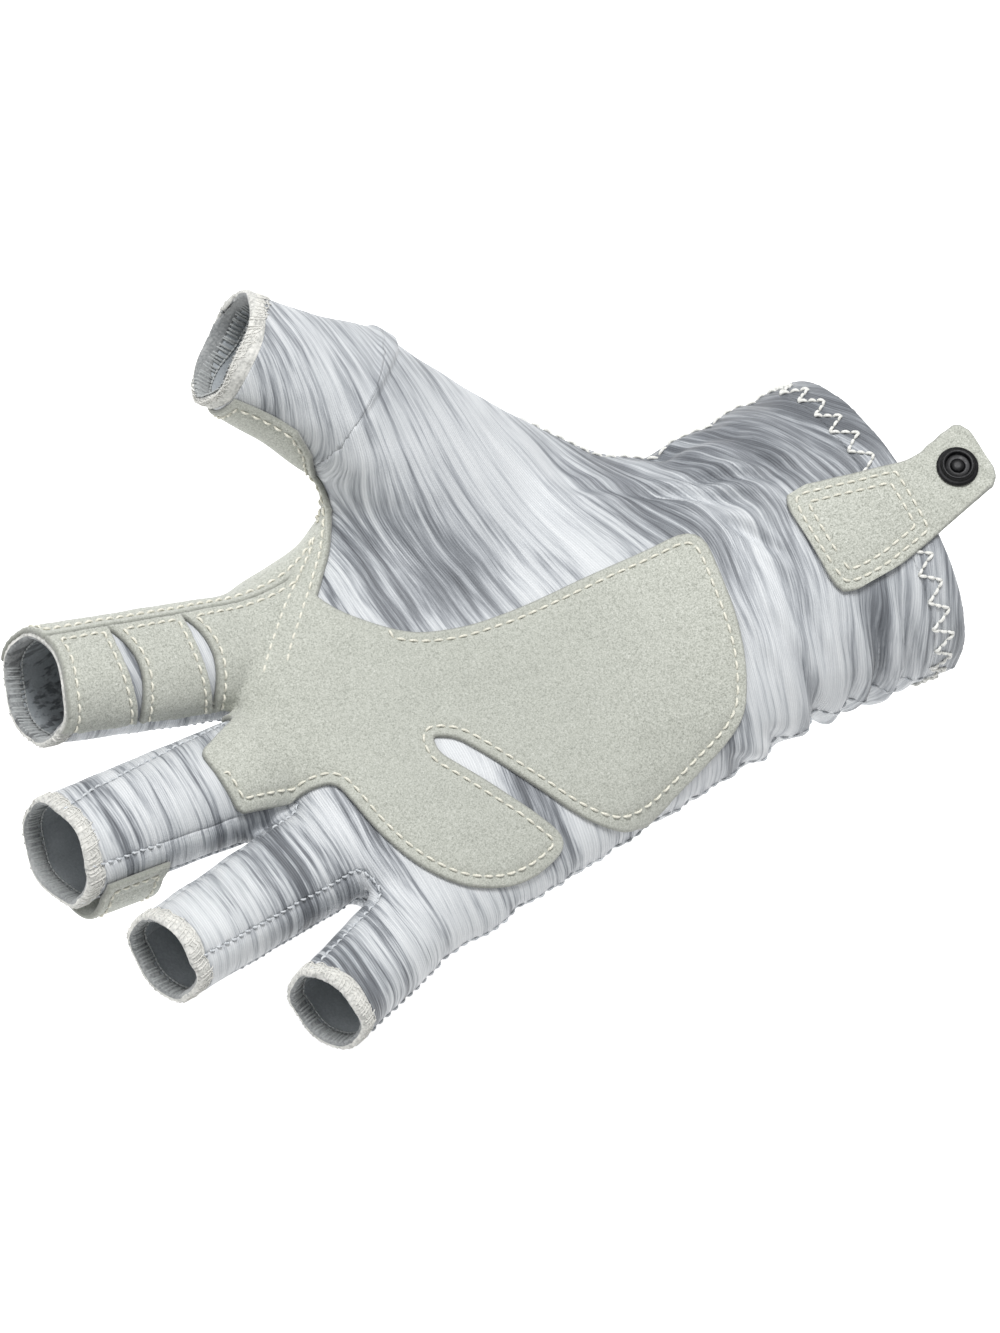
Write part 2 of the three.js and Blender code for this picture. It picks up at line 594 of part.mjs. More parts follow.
// A round piece from rows of radius and height, standing on the tab's free end.
const snapUp = new THREE.Vector3(-TAB_SLOPE, 0, 1).normalize();
const snapSeat = new THREE.Vector3(SNAP_OUT, SNAP_ACROSS, tabBase + TAB_SLOPE * SNAP_OUT);
const suedeThrough = SUEDE * snapUp.z;

function turned(rows) {
  const aside = new THREE.Vector3(snapUp.z, 0, -snapUp.x);
  const across = snapUp.clone().cross(aside);
  const rings = rows.map((row) =>
    Array.from({ length: SNAP_SIDES }, (_, side) => {
      const angle = (2 * Math.PI * side) / SNAP_SIDES;
      return snapSeat
        .clone()
        .addScaledVector(snapUp, row.height)
        .addScaledVector(aside, row.radius * Math.cos(angle))
        .addScaledVector(across, row.radius * Math.sin(angle));
    }),
  );
  return solid(loft(rings));
}

const snapSocket = turned(
  SNAP_SOCKET.map((row) => ({
    radius: row.radius * SNAP_RADIUS,
    height: suedeThrough + GAP + row.height * SNAP_RADIUS,
  })),
);
const snapCap = turned([
  { radius: SNAP_CAP_RADIUS - SNAP_CAP_BEVEL, height: -GAP - SNAP_CAP_THICKNESS },
  { radius: SNAP_CAP_RADIUS, height: -GAP - SNAP_CAP_THICKNESS + SNAP_CAP_BEVEL },
  { radius: SNAP_CAP_RADIUS, height: -GAP },
  { radius: SNAP_POST_RADIUS, height: -GAP },
  { radius: SNAP_POST_RADIUS, height: suedeThrough },
]);
const postHole = turned([
  { radius: SNAP_POST_RADIUS + GAP, height: -SUEDE },
  { radius: SNAP_POST_RADIUS + GAP, height: 2 * SUEDE },
]);

// A band across the middle finger's back, sewn down at its ends and standing off between them.
function pullLoop() {
  const end = middle.hemStart - LOOP_INSET;
  const places = Array.from({ length: 5 }, (_, step) => end - LOOP_LENGTH * (1 - step / 4));
  const rings = places.map((place) => {
    const spots = (thickness) =>
      Array.from({ length: LOOP_FACETS + 1 }, (_, i) => {
        const share = i / LOOP_FACETS;
        const standing = THREE.MathUtils.clamp((share - LOOP_FLAT) / (1 - 2 * LOOP_FLAT), 0, 1);
        const angle = THREE.MathUtils.degToRad(THREE.MathUtils.lerp(LOOP_FROM, LOOP_TO, share));
        return middle.point(place, angle, GAP + LOOP_RISE * Math.sin(Math.PI * standing) + thickness);
      });
    return [...spots(SUEDE), ...spots(0).reverse()];
  });
  return solid(loft(rings, true));
}

function cuffHem() {
  const end = CUFF_HEM / HAND_LENGTH;
  const outer = [handRing(0, 0), handRing(end, 0)];
  const inner = [handRing(0, -CUFF_HEM_THICKNESS, CLOTH), handRing(end, -CUFF_HEM_THICKNESS, -CLOTH)];
  return solid(loft(outer)).subtract(solid(loft(inner)));
}

const CLOTH_COLOUR = 0xb9c0c6;
const DARK_CLOTH_COLOUR = 0x9aa2aa;
const SUEDE_COLOUR = 0xc3c4bb;
const EDGE_COLOUR = 0xd9d9d4;
const SNAP_COLOUR = 0x1a1a1c;

const glove = new THREE.Group();

function addPiece(name, form, colour, roughness = 0.9, metalness = 0) {
  const mesh = form.getMesh();
  const points = new Float32Array(mesh.numVert * 3);
  for (let i = 0; i < mesh.numVert; i += 1) {
    points.set(mesh.vertProperties.subarray(i * mesh.numProp, i * mesh.numProp + 3), i * 3);
  }
  const geometry = new THREE.BufferGeometry();
  geometry.setAttribute("position", new THREE.BufferAttribute(points, 3));
  geometry.setIndex(new THREE.BufferAttribute(mesh.triVerts, 1));
  geometry.computeVertexNormals();
  const material = new THREE.MeshStandardMaterial({ color: colour, roughness, metalness });
  const piece = new THREE.Mesh(geometry, material);
  piece.name = name;
  glove.add(piece);
}

addPiece("palm_cloth", panels.intersect(palmSide(0)), CLOTH_COLOUR);
addPiece("back_cloth", panels.subtract(palmSide(GAP)), DARK_CLOTH_COLOUR);
fourchettes.forEach((strip, i) => addPiece(`fourchette_${FOURCHETTES[i].name}`, strip, CLOTH_COLOUR));
addPiece("thumb_sleeve", thumb.shell(thumb.seam + GAP, thumb.hemStart - GAP), CLOTH_COLOUR);
for (const tube of [...fingers, thumb]) {
  addPiece(`${tube.name}_hem`, tube.shell(tube.hemStart, tube.end), EDGE_COLOUR);
}

addPiece("cuff_hem", cuffHem(), DARK_CLOTH_COLOUR);
addPiece("palm_patch", palmPatch, SUEDE_COLOUR);
addPiece("side_patch", suede.intersect(sideRegion), SUEDE_COLOUR);
addPiece("pull_loop", pullLoop(), SUEDE_COLOUR);
addPiece("wrist_tab", tab().subtract(postHole), SUEDE_COLOUR);
addPiece("snap_socket", snapSocket, SNAP_COLOUR, 0.4, 0.6);
addPiece("snap_cap", snapCap, SNAP_COLOUR, 0.4, 0.6);

export default glove;
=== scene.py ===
"""Looks of the fingerless fishing glove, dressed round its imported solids.

Lengths are in millimetres, and from the finishes on in metres.
"""

import json
import math

import bpy
import numpy as np
from mathutils import Matrix, Vector
from mathutils.bvhtree import BVHTree

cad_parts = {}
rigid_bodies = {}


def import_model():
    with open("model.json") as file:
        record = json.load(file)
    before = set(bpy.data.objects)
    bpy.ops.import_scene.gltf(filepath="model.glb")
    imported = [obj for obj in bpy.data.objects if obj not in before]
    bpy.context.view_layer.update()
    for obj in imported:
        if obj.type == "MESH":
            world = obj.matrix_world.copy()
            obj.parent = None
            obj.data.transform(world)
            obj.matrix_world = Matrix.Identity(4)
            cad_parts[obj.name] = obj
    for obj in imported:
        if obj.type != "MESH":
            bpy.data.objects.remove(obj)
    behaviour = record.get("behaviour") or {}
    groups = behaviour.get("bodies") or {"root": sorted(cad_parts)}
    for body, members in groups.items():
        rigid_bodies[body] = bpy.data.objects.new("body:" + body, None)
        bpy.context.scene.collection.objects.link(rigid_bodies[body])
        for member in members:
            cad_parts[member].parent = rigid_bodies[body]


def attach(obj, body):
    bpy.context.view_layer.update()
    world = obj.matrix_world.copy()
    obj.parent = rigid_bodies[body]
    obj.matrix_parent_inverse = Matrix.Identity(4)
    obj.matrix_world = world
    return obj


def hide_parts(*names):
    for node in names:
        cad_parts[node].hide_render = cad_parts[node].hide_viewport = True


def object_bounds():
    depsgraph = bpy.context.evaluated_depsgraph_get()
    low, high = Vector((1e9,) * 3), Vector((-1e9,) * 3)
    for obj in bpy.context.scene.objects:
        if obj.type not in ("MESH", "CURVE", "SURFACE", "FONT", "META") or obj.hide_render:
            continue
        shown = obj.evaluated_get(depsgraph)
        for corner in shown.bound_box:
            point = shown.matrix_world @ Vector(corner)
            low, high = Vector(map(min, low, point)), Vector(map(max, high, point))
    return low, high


for leftover in list(bpy.data.objects):
    bpy.data.objects.remove(leftover)
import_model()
cad_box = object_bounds()

MM = 0.001

# Named sizes of the glove, as in its source
HAND_LENGTH = 146
PALM_WIDTH = 92
PALM_DEPTH = 30
KNUCKLE_SLANT = 9
FINGER_LENGTH = 55
FINGER_WIDTH = 23.6
FINGER_FLATNESS = 0.95
FINGER_SQUARE = 2.3
THUMB_WIDTH = 34
CLOTH = 1.2
FINGER_HEM = 3.6
CUFF_HEM = 7.5
CUFF_HEM_THICKNESS = 2.2
ROOT_LENGTH = 24
BEND_SHARE = 0.16

# Sections of the hand, as shares of its sizes: at, little, thumb, middle, half, lift, square
HAND_SECTIONS = np.array([
    (-0.05, 0.46, 0.335, 0.18, 0.99, 0, 2.1),
    (0.0, 0.458, 0.335, 0.165, 0.965, 0, 2.1),
    (0.12, 0.438, 0.345, 0.12, 0.88, 0, 2.15),
    (0.25, 0.433, 0.345, 0.06, 0.77, 0.05, 2.2),
    (0.4, 0.452, 0.42, 0.02, 0.67, 0.2, 2.3),
    (0.55, 0.468, 0.53, -0.02, 0.59, 0.35, 2.4),
    (0.66, 0.482, 0.63, -0.03, 0.54, 0.35, 2.3),
    (0.7, 0.485, 0.6, -0.03, 0.53, 0.25, 2.3),
    (0.74, 0.488, 0.54, -0.03, 0.52, 0.15, 2.4),
    (0.8, 0.492, 0.5, -0.03, 0.51, 0.06, 2.4),
    (0.87, 0.515, 0.487, -0.02, 0.485, 0, 2.5),
    (0.95, 0.52, 0.468, 0.0, 0.44, 0, 2.4),
    (0.985, 0.505, 0.455, 0.02, 0.34, 0, 2.3),
    (1.0, 0.49, 0.43, 0.03, 0.18, 0, 2.2),
])

# Large folds: at, side, reach, slant, breadth, depth
FOLDS = [
    (0.085, 12, 32, 0.01, 0.12, 0.045),
    (0.145, 10, 34, 0.03, 0.12, 0.055),
    (0.205, 8, 36, 0.06, 0.13, 0.06),
    (0.27, 20, 40, 0.12, 0.16, 0.06),
    (0.33, 125, 30, -0.14, 0.2, 0.05),
    (0.24, 205, 30, 0.05, 0.18, 0.05),
    (0.3, 300, 40, 0.08, 0.22, 0.045),
]

# name, along, across, splay, curl, length, base, tip
FINGERS = [
    ("index", 0.945, 0.335, 5.7, 23, 0.965, 1.03, 0.97),
    ("middle", 0.998, 0.06, -2, 15.5, 1.0, 1.05, 0.97),
    ("ring", 0.974, -0.183, -11.7, 17.5, 0.95, 0.94, 0.8),
    ("little", 0.93, -0.42, -21, 17.5, 0.61, 0.83, 0.77),
]

# along, across, rise, width, depth, splay, curl
THUMB_ROWS = [
    (0.4, 0.1, -0.05, 1.8, 0.6, 52, 12),
    (0.47, 0.26, 0.1, 1.65, 0.76, 50, 14),
    (0.55, 0.44, 0.36, 1.35, 0.84, 46, 18),
    (0.658, 0.7, 0.83, 0.98, 0.86, 42, 20),
    (0.725, 0.79, 1.0, 0.8, 0.76, 46, 19),
    (0.805, 0.895, 1.2, 0.73, 0.7, 53, 18),
]
THUMB_SEAM_ROW = 3

LITTLE_SIDE_SEAM = [(-0.1, 0.14), (0.3, 0.07), (0.7, -0.04), (0.945, 0.0), (1.45, 0.76)]
THUMB_SIDE_SEAM = [(-0.1, 0.5), (0.22, 0.5), (0.42, 0.3), (0.75, 0.0), (0.945, 0.0), (1.45, 1.04)]
SEAM_CHANGE = 0.2

FOURCHETTE = 10
# name, from, low, high, curl
FOURCHETTES = [
    ("index_middle", 0.955, 0.055, 0.34, 19),
    ("middle_ring", 0.955, -0.225, 0.035, 16.5),
    ("ring_little", 0.905, -0.475, -0.27, 17.5),
]

# along, across, round
PALM_PATCH = [
    (0.836, 0.48, 0.01), (0.82, 0.295, 0.06), (0.755, 0.165, 0.09), (0.7, 0.12, 0.15),
    (0.62, 0.09, 0.3), (0.5, 0.078, 0.3), (0.29, 0.058, 0.08), (0.335, -0.34, 0.09),
    (0.375, -0.415, 0.08), (0.48, -0.45, 0.15), (0.6, -0.472, 0.07), (0.66, -0.395, 0.1),
    (0.7, -0.29, 0.1), (0.765, -0.12, 0.03), (0.795, -0.095, 0.012), (0.799, -0.135, 0.02),
    (0.76, -0.235, 0.1), (0.68, -0.44, 0.06), (0.78, -0.475, 0.08), (0.87, -0.43, 0.12),
    (0.93, -0.29, 0.12), (0.952, -0.085, 0.03), (1.0, -0.062, 0.1), (1.1, -0.05, 0.02),
    (1.11, 0.1, 0.02), (1.02, 0.165, 0.03), (1.04, 0.203, 0.01), (1.38, 0.21, 0.01),
    (1.38, 0.48, 0.01),
]
SIDE_PATCH = [
    (1.38, 0.462, 0.01), (1.2, 0.441, 0.3), (1.03, 0.418, 0.2), (0.96, 0.414, 0.1), (0.85, 0.405, 0.1),
    (0.79, 0.44, 0.05), (0.75, 0.48, 0.05), (0.718, 0.55, 0.03), (0.69, 0.6, 0.01), (0.69, 0.72, 0.01),
    (0.8, 0.6, 0.01), (1.38, 0.6, 0.01),
]
SIDE_PATCH_DROP = 5.5
WEB_RISE = 0.45
WEB_END = 0.85
PALM_PATCH_LIFT = 1

# out, rise
THUMB_PATCH = [
    (-0.3, -0.5), (-0.3, -0.34), (-0.02, -0.22), (0.12, 0.0), (0.3, 0.13), (1.2, 0.11),
    (1.2, -0.3), (0.3, -0.36),
]

# along, across, length, breadth, bow
FLEX_SLITS = [(1.155, 0.33, 0.76, 0.13, 0.06), (1.035, 0.316, 0.76, 0.12, 0.06)]

TAB_LENGTH = 43
# Outline of the tab: out, thumb, little
TAB_ROWS = np.array([
    (-0.6, 0.006, -0.242), (-0.49, 0.016, -0.261), (-0.4, 0.0, -0.264),
    (-0.3, -0.012, -0.263), (-0.2, -0.028, -0.257), (-0.1, -0.043, -0.25), (0.0, -0.058, -0.242),
    (0.1, -0.062, -0.236), (0.22, -0.047, -0.226), (0.39, -0.036, -0.21),
])
TAB_SLOPE = 0.15
TAB_FLATTENING = 4
TAB_CURL = 0.012
TAB_LIFT = 0.35
TAB_STEP = 0.45
SNAP_SEAT = (9.5, -12.6)
TAB_SEWN = (-14, -11)
SNAP_RADIUS = 4.5
SNAP_HOLE = 1.6
SNAP_EDGE = 0.09
SNAP_SIDES = 72
SNAP_CAP_RADIUS = 4.2
SNAP_CAP_THICKNESS = 0.9

LOOP_LENGTH = 15.5
LOOP_FROM = -128
LOOP_TO = 12
LOOP_RISE = 3.1
LOOP_FLAT = 0.14
LOOP_INSET = 1
LOOP_LIFT = 0.25
LOOP_SPAN = 31
LOOP_STITCH_INSET = 2.2


def smoothstep(x, low, high):
    share = np.clip((x - low) / (high - low), 0, 1)
    return share * share * (3 - 2 * share)


def unit(vectors):
    return vectors / np.maximum(np.linalg.norm(vectors, axis=-1, keepdims=True), 1e-9)


def hand_section(place):
    at = HAND_SECTIONS[:, 0]
    upper = np.clip(np.searchsorted(at, place), 1, len(at) - 1)
    linear = (place - at[upper - 1]) / (at[upper] - at[upper - 1])
    share = ((linear + smoothstep(linear, 0, 1)) / 2)[..., None]
    row = HAND_SECTIONS[upper - 1] * (1 - share) + HAND_SECTIONS[upper] * share
    _, little, thumb, middle, half, lift, square = np.moveaxis(row, -1, 0)
    return (
        (thumb - little) * PALM_WIDTH / 2,
        (thumb + little) * PALM_WIDTH / 2,
        half * PALM_DEPTH,
        middle * PALM_DEPTH,
        lift * PALM_DEPTH,
        square,
    )


def fold_depth(place, degrees):
    total = 0
    for at, side, reach, slant, breadth, depth in FOLDS:
        turn = (degrees - side + 540) % 360 - 180
        along = (place - at - slant * turn / 90) * HAND_LENGTH
        sunk = np.exp(-((along / (breadth * PALM_DEPTH)) ** 2) - (turn / reach) ** 2)
        total = total + depth * PALM_DEPTH * sunk
    return total


def hand_points(place, angle, outset=0.0):
    centre, half_width, half_depth, middle, lift, square = hand_section(place)
    grown = outset - fold_depth(place, np.degrees(angle))
    c, s = np.cos(angle), np.sin(angle)
    across = (half_width + grown) * np.sign(c) * np.abs(c) ** (2 / square)
    up = (half_depth + grown) * np.sign(s) * np.abs(s) ** (2 / square)
    to_little = np.maximum(0, across / half_width)
    to_thumb = np.maximum(0, -across / half_width)
    along = -place * HAND_LENGTH + KNUCKLE_SLANT * np.maximum(place, 0) ** 3 * to_little**2
    return np.stack([along, centre - across, middle + lift * to_thumb**2 + up], axis=-1)


def facing(splay, curl):
    splay, curl = np.radians(splay), np.radians(curl)
    return np.array([-np.cos(splay) * np.cos(curl), np.sin(splay) * np.cos(curl), np.sin(curl)])


class Tube:
    """A finger or the thumb, through rows of centre, axis, width and depth."""

    def __init__(self, name, rows, seam_row):
        self.name = name
        self.centres = np.array([row[0] for row in rows])
        self.axes = np.array([row[1] for row in rows])
        self.widths = np.array([row[2] for row in rows])
        self.depths = np.array([row[3] for row in rows])
        steps = np.linalg.norm(np.diff(self.centres, axis=0), axis=1)
        self.stations = np.concatenate([[0], np.cumsum(steps)])
        self.seam = self.stations[seam_row]
        self.end = self.stations[-1]
        self.hem_start = self.end - FINGER_HEM

    def section(self, place):
        upper = np.clip(np.searchsorted(self.stations, place), 1, len(self.stations) - 1)
        span = self.stations[upper] - self.stations[upper - 1]
        share = (place - self.stations[upper - 1]) / span
        inside = np.clip(share, 0, 1)[..., None]
        axis = unit(self.axes[upper - 1] * (1 - inside) + self.axes[upper] * inside)
        centre = self.centres[upper - 1] * (1 - inside) + self.centres[upper] * inside
        centre = centre + axis * (share[..., None] - inside) * span[..., None]
        palmward = unit(np.array([0, 0, 1.0]) - axis * axis[..., 2:])
        across = np.cross(palmward, axis)
        inside = inside[..., 0]
        half_width = (self.widths[upper - 1] * (1 - inside) + self.widths[upper] * inside) / 2
        half_depth = (self.depths[upper - 1] * (1 - inside) + self.depths[upper] * inside) / 2
        return centre, axis, palmward, across, half_width, half_depth

    def points(self, place, angle, outset=0.0):
        place, angle = np.broadcast_arrays(np.asarray(place, float), np.asarray(angle, float))
        centre, _, palmward, across, half_width, half_depth = self.section(place)
        c, s = np.cos(angle), np.sin(angle)
        power = 2 / FINGER_SQUARE
        x = (half_width + outset) * np.sign(c) * np.abs(c) ** power
        y = (half_depth + outset) * np.sign(s) * np.abs(s) ** power
        return centre + across * x[..., None] + palmward * y[..., None]

    def locate(self, points):
        """Place along the tube, angle round it and how far out of its surface each point lies."""
        best = np.full(len(points), np.inf)
        place = np.zeros(len(points))
        for i in range(len(self.stations) - 1):
            start, end = self.centres[i], self.centres[i + 1]
            run = end - start
            share = (points - start) @ run / (run @ run)
            low = -np.inf if i == 0 else 0
            high = np.inf if i == len(self.stations) - 2 else 1
            held = np.clip(share, low, high)
            far = np.linalg.norm(points - start - held[:, None] * run, axis=1)
            nearer = far < best
            best = np.where(nearer, far, best)
            place = np.where(nearer, self.stations[i] + held * np.linalg.norm(run), place)
        centre, axis, palmward, across, half_width, half_depth = self.section(place)
        offset = points - centre
        x = np.sum(offset * across, axis=1)
        y = np.sum(offset * palmward, axis=1)
        ratio = np.abs(x / half_width) ** FINGER_SQUARE + np.abs(y / half_depth) ** FINGER_SQUARE
        ratio = ratio ** (1 / FINGER_SQUARE)
        angle = np.arctan2(y / half_depth, x / half_width)
        return place, angle, (ratio - 1) * np.minimum(half_width, half_depth)


def finger_tube(name, along, across, splay, curl, length, base, tip):
    straight, curled = facing(splay, 0), facing(splay, curl)
    reach = length * FINGER_LENGTH
    knuckle = np.array([-along * HAND_LENGTH, across * PALM_WIDTH, 0.0])
    wide, narrow = base * FINGER_WIDTH, tip * FINGER_WIDTH
    rows = [
        (knuckle - straight * ROOT_LENGTH, straight, wide, wide * FINGER_FLATNESS),
        (knuckle, facing(splay, curl / 2), wide, wide * FINGER_FLATNESS),
        (knuckle + curled * reach * BEND_SHARE, curled, wide, wide * FINGER_FLATNESS),
        (knuckle + curled * reach, curled, narrow, narrow * FINGER_FLATNESS),
    ]
    return Tube(name, rows, 2)


thumb_rows = [
    (
        np.array([-along * HAND_LENGTH, across * PALM_WIDTH, rise * PALM_DEPTH]),
        facing(splay, curl),
        width * THUMB_WIDTH,
        depth * THUMB_WIDTH,
    )
    for along, across, rise, width, depth, splay, curl in THUMB_ROWS
]
fingers = [finger_tube(*row) for row in FINGERS]
thumb = Tube("thumb", thumb_rows, THUMB_SEAM_ROW)
tubes = [*fingers, thumb]
index, middle_finger = fingers[0], fingers[1]


# Meshes as arrays
def loft(rings):
    count, sides = rings.shape[:2]
    points = rings.reshape(-1, 3)
    ring, side = np.meshgrid(np.arange(count - 1), np.arange(sides), indexing="ij")
    after = (side + 1) % sides
    a, b = ring * sides + side, ring * sides + after
    c, d = a + sides, b + sides
    faces = np.concatenate([np.stack([a, b, c], -1), np.stack([b, d, c], -1)]).reshape(-1, 3)
    hubs = np.stack([rings[0].mean(axis=0), rings[-1].mean(axis=0)])
    first, last = len(points), len(points) + 1
    around = np.arange(sides)
    following = (around + 1) % sides
    low = np.stack([np.full(sides, first), following, around], -1)
    top = (count - 1) * sides
    high = np.stack([np.full(sides, last), top + around, top + following], -1)
    return np.concatenate([points, hubs]), np.concatenate([faces, low, high])


def joined(parts):
    points, faces, start = [], [], 0
    for part_points, part_faces in parts:
        points.append(part_points)
        faces.append(np.asarray(part_faces) + start)
        start += len(part_points)
    return np.concatenate(points), np.concatenate(faces)


def mesh_object(name, points, faces, smooth=True):
    mesh = bpy.data.meshes.new(name)
    mesh.from_pydata((np.asarray(points) * MM).tolist(), [], np.asarray(faces).tolist())
    mesh.update()
    if smooth:
        mesh.shade_smooth()
    made = bpy.data.objects.new(name, mesh)
    bpy.context.scene.collection.objects.link(made)
    return made


def store(made, name, values):
    """Keep a number for each point, for the finish to read."""
    stored = made.data.attributes.new(name, "FLOAT", "POINT")
    stored.data.foreach_set("value", np.asarray(values, dtype=np.float32))


def edges_of(faces):
    pairs = np.concatenate([faces[:, [0, 1]], faces[:, [1, 2]], faces[:, [2, 0]]])
    return np.unique(np.sort(pairs, axis=1), axis=0)


def vertex_normals(points, faces):
    corners = points[faces]
    normals = np.cross(corners[:, 1] - corners[:, 0], corners[:, 2] - corners[:, 0])
    total = np.zeros_like(points)
    for axis in range(3):
        for corner in range(3):
            total[:, axis] += np.bincount(faces[:, corner], normals[:, axis], len(points))
    return unit(total)


def eased(points, edges, weight, rounds):
    """Moves each point towards the mean of its neighbours, as far as its weight says."""
    count = len(points)
    a, b = edges.T
    valence = np.bincount(a, minlength=count) + np.bincount(b, minlength=count)
    valence = np.maximum(valence, 1)
    weight = np.broadcast_to(weight, (count,))
    for _ in range(rounds):
        moved = np.empty_like(points)
        for axis in range(3):
            value = points[:, axis]
            total = np.bincount(a, value[b], count) + np.bincount(b, value[a], count)
            moved[:, axis] = value + weight * (total / valence - value)
        points = moved
    return points


def evened(points, edges, rounds):
    for _ in range(rounds):
        points = eased(points, edges, 0.5, 1)
        points = eased(points, edges, -0.52, 1)
    return points


# The whole glove as one skin
SKIN_VOXEL = 0.85
SKIN_SIDES = 144
PAST_WRIST = 0.035
PAST_END = 3
WEB_REACH = 3
WEB_ROUNDS = 30
THUMB_REACH = 9
THUMB_ROUNDS = 260


def remeshed(points, faces, voxel):
    rough = mesh_object("rough", points, faces, smooth=False)
    modifier = rough.modifiers.new("even", "REMESH")
    modifier.mode = "VOXEL"
    modifier.voxel_size = voxel * MM
    even = rough.evaluated_get(bpy.context.evaluated_depsgraph_get()).to_mesh()
    found = np.empty(len(even.vertices) * 3)
    even.vertices.foreach_get("co", found)
    even.calc_loop_triangles()
    triangles = np.empty(len(even.loop_triangles) * 3, dtype=np.int64)
    even.loop_triangles.foreach_get("vertices", triangles)
    bpy.data.objects.remove(rough)
    return found.reshape(-1, 3) / MM, triangles.reshape(-1, 3)


def whole_skin():
    around = np.linspace(0, 2 * np.pi, SKIN_SIDES, endpoint=False)
    places = np.concatenate([np.linspace(-PAST_WRIST, 0.94, 130), np.linspace(0.945, 1, 12)])
    parts = [loft(hand_points(places[:, None], around[None, :]))]
    for tube in tubes:
        places = np.linspace(0, tube.end + PAST_END, 70)
        parts.append(loft(tube.points(places[:, None], around[None, ::2])))
    return remeshed(*joined(parts), SKIN_VOXEL)


def hand_outness(points):
    """How far each point lies out of the hand part's surface, and its degrees round it."""
    place = -points[:, 0] / HAND_LENGTH
    centre, half_width, half_depth, middle, lift, square = hand_section(np.clip(place, -0.05, 1))
    for _ in range(2):
        to_little = np.clip((centre - points[:, 1]) / half_width, 0, 1)
        place = (-points[:, 0] + KNUCKLE_SLANT * np.clip(place, 0, 1) ** 3 * to_little**2) / HAND_LENGTH
        centre, half_width, half_depth, middle, lift, square = hand_section(np.clip(place, -0.05, 1))
    x = (centre - points[:, 1]) / half_width
    y = (points[:, 2] - middle - lift * np.maximum(0, -x) ** 2) / half_depth
    ratio = (np.abs(x) ** square + np.abs(y) ** square) ** (1 / square)
    out = (ratio - 1) * np.minimum(half_width, half_depth)
    past = (place - 1) * HAND_LENGTH
    return np.maximum(out, past), np.degrees(np.arctan2(y, x)) % 360, place


skin, skin_faces = whole_skin()
skin_edges = edges_of(skin_faces)
skin = evened(skin, skin_edges, 6)
hand_out, _, _ = hand_outness(skin)
finger_out = np.min([tube.locate(skin)[2] for tube in fingers], axis=0)
thumb_place, _, thumb_out = thumb.locate(skin)
near_web = np.exp(-((hand_out / WEB_REACH) ** 2) - (finger_out / WEB_REACH) ** 2)
skin = eased(skin, skin_edges, 0.5 * near_web, WEB_ROUNDS)
near_thumb = np.exp(-((hand_out / THUMB_REACH) ** 2) - (thumb_out / THUMB_REACH) ** 2)
skin = eased(skin, skin_edges, 0.5 * near_thumb * (thumb_place < thumb.seam), THUMB_ROUNDS)
skin = evened(skin, skin_edges, 3)

# Finer gathers, each a line of millimetres from the wrist and degrees round the hand
# start, degrees, end, degrees, width, depth
GATHERS = [
    (14.5, -62, 12.5, 70, 1.5, 1.4),
    (20.5, -58, 19, 76, 1.7, 1.8),
    (24.5, -60, 27.5, 74, 1.7, 1.9),
    (29, -56, 42, 84, 1.8, 2.1),
    (42, -22, 55, 64, 2.2, 1.5),
    (38.6, 108, 28, 72, 1.1, 1.0),
    (52, -16, 59, 26, 1.9, 1.0),
    (20, 104, 44, 130, 1.5, 1.2),
    (28, 100, 54, 136, 1.7, 1.2),
    (36, 112, 64, 140, 1.6, 0.9),
    (14, 96, 30, 128, 1.3, 0.9),
    (20, 132, 44, 152, 2.0, 0.7),
    (70, -14, 70, 8, 1.7, 0.7),
    (80, -14, 80, 6, 1.7, 0.6),
    (91, -14, 92, 5, 1.6, 0.5),
    (104, -14, 103, 8, 1.7, 0.6),
    (118, -16, 120, 10, 1.8, 0.6),
    (40, 200, 30, 330, 2.8, 0.9),
    (58, 210, 62, 320, 3.0, 0.6),
    (24, 190, 20, 300, 2.4, 0.8),
    (12, 205, 11, 340, 1.9, 0.6),
    (84, 225, 78, 300, 3.2, 0.4),
]
MM_PER_DEGREE = 0.6
SOFT_ROLL = 0.55


def gathered(places, degrees):
    """How far the cloth sinks at each place along and round the hand, with a soft roll on either side."""
    along = places * HAND_LENGTH
    turned = ((degrees + 90) % 360 - 90) * MM_PER_DEGREE
    total = np.zeros(len(places))
    for start, from_degrees, end, to_degrees, width, depth in GATHERS:
        first = np.array([start, ((from_degrees + 90) % 360 - 90) * MM_PER_DEGREE])
        run = np.array([end, ((to_degrees + 90) % 360 - 90) * MM_PER_DEGREE]) - first
        share = np.clip(((along - first[0]) * run[0] + (turned - first[1]) * run[1]) / (run @ run), 0, 1)
        far = np.hypot(along - first[0] - share * run[0], turned - first[1] - share * run[1]) / width
        fade = smoothstep(share, -0.05, 0.25) * smoothstep(1 - share, -0.05, 0.35)
        total += depth * fade * (np.exp(-far * far) - SOFT_ROLL * np.exp(-((far - 2) ** 2)))
    return total


def unevenness(points):
    """Slow swells of a fraction of a millimetre, as worn cloth has."""
    total = np.zeros(len(points))
    for turn in range(9):
        direction = np.array([math.sin(turn * 2.4), math.cos(turn * 2.4), math.sin(turn * 1.1)])
        total += np.sin(points @ direction * (0.32 + 0.05 * turn) + turn * 1.7)
    return total / 9


def seam_height(points):
    place = -points[:, 0] / HAND_LENGTH
    little = np.interp(place, *np.array(LITTLE_SIDE_SEAM).T)
    thumb_side = np.interp(place, *np.array(THUMB_SIDE_SEAM).T)
    return np.where(points[:, 1] < SEAM_CHANGE * PALM_WIDTH, little, thumb_side) * PALM_DEPTH


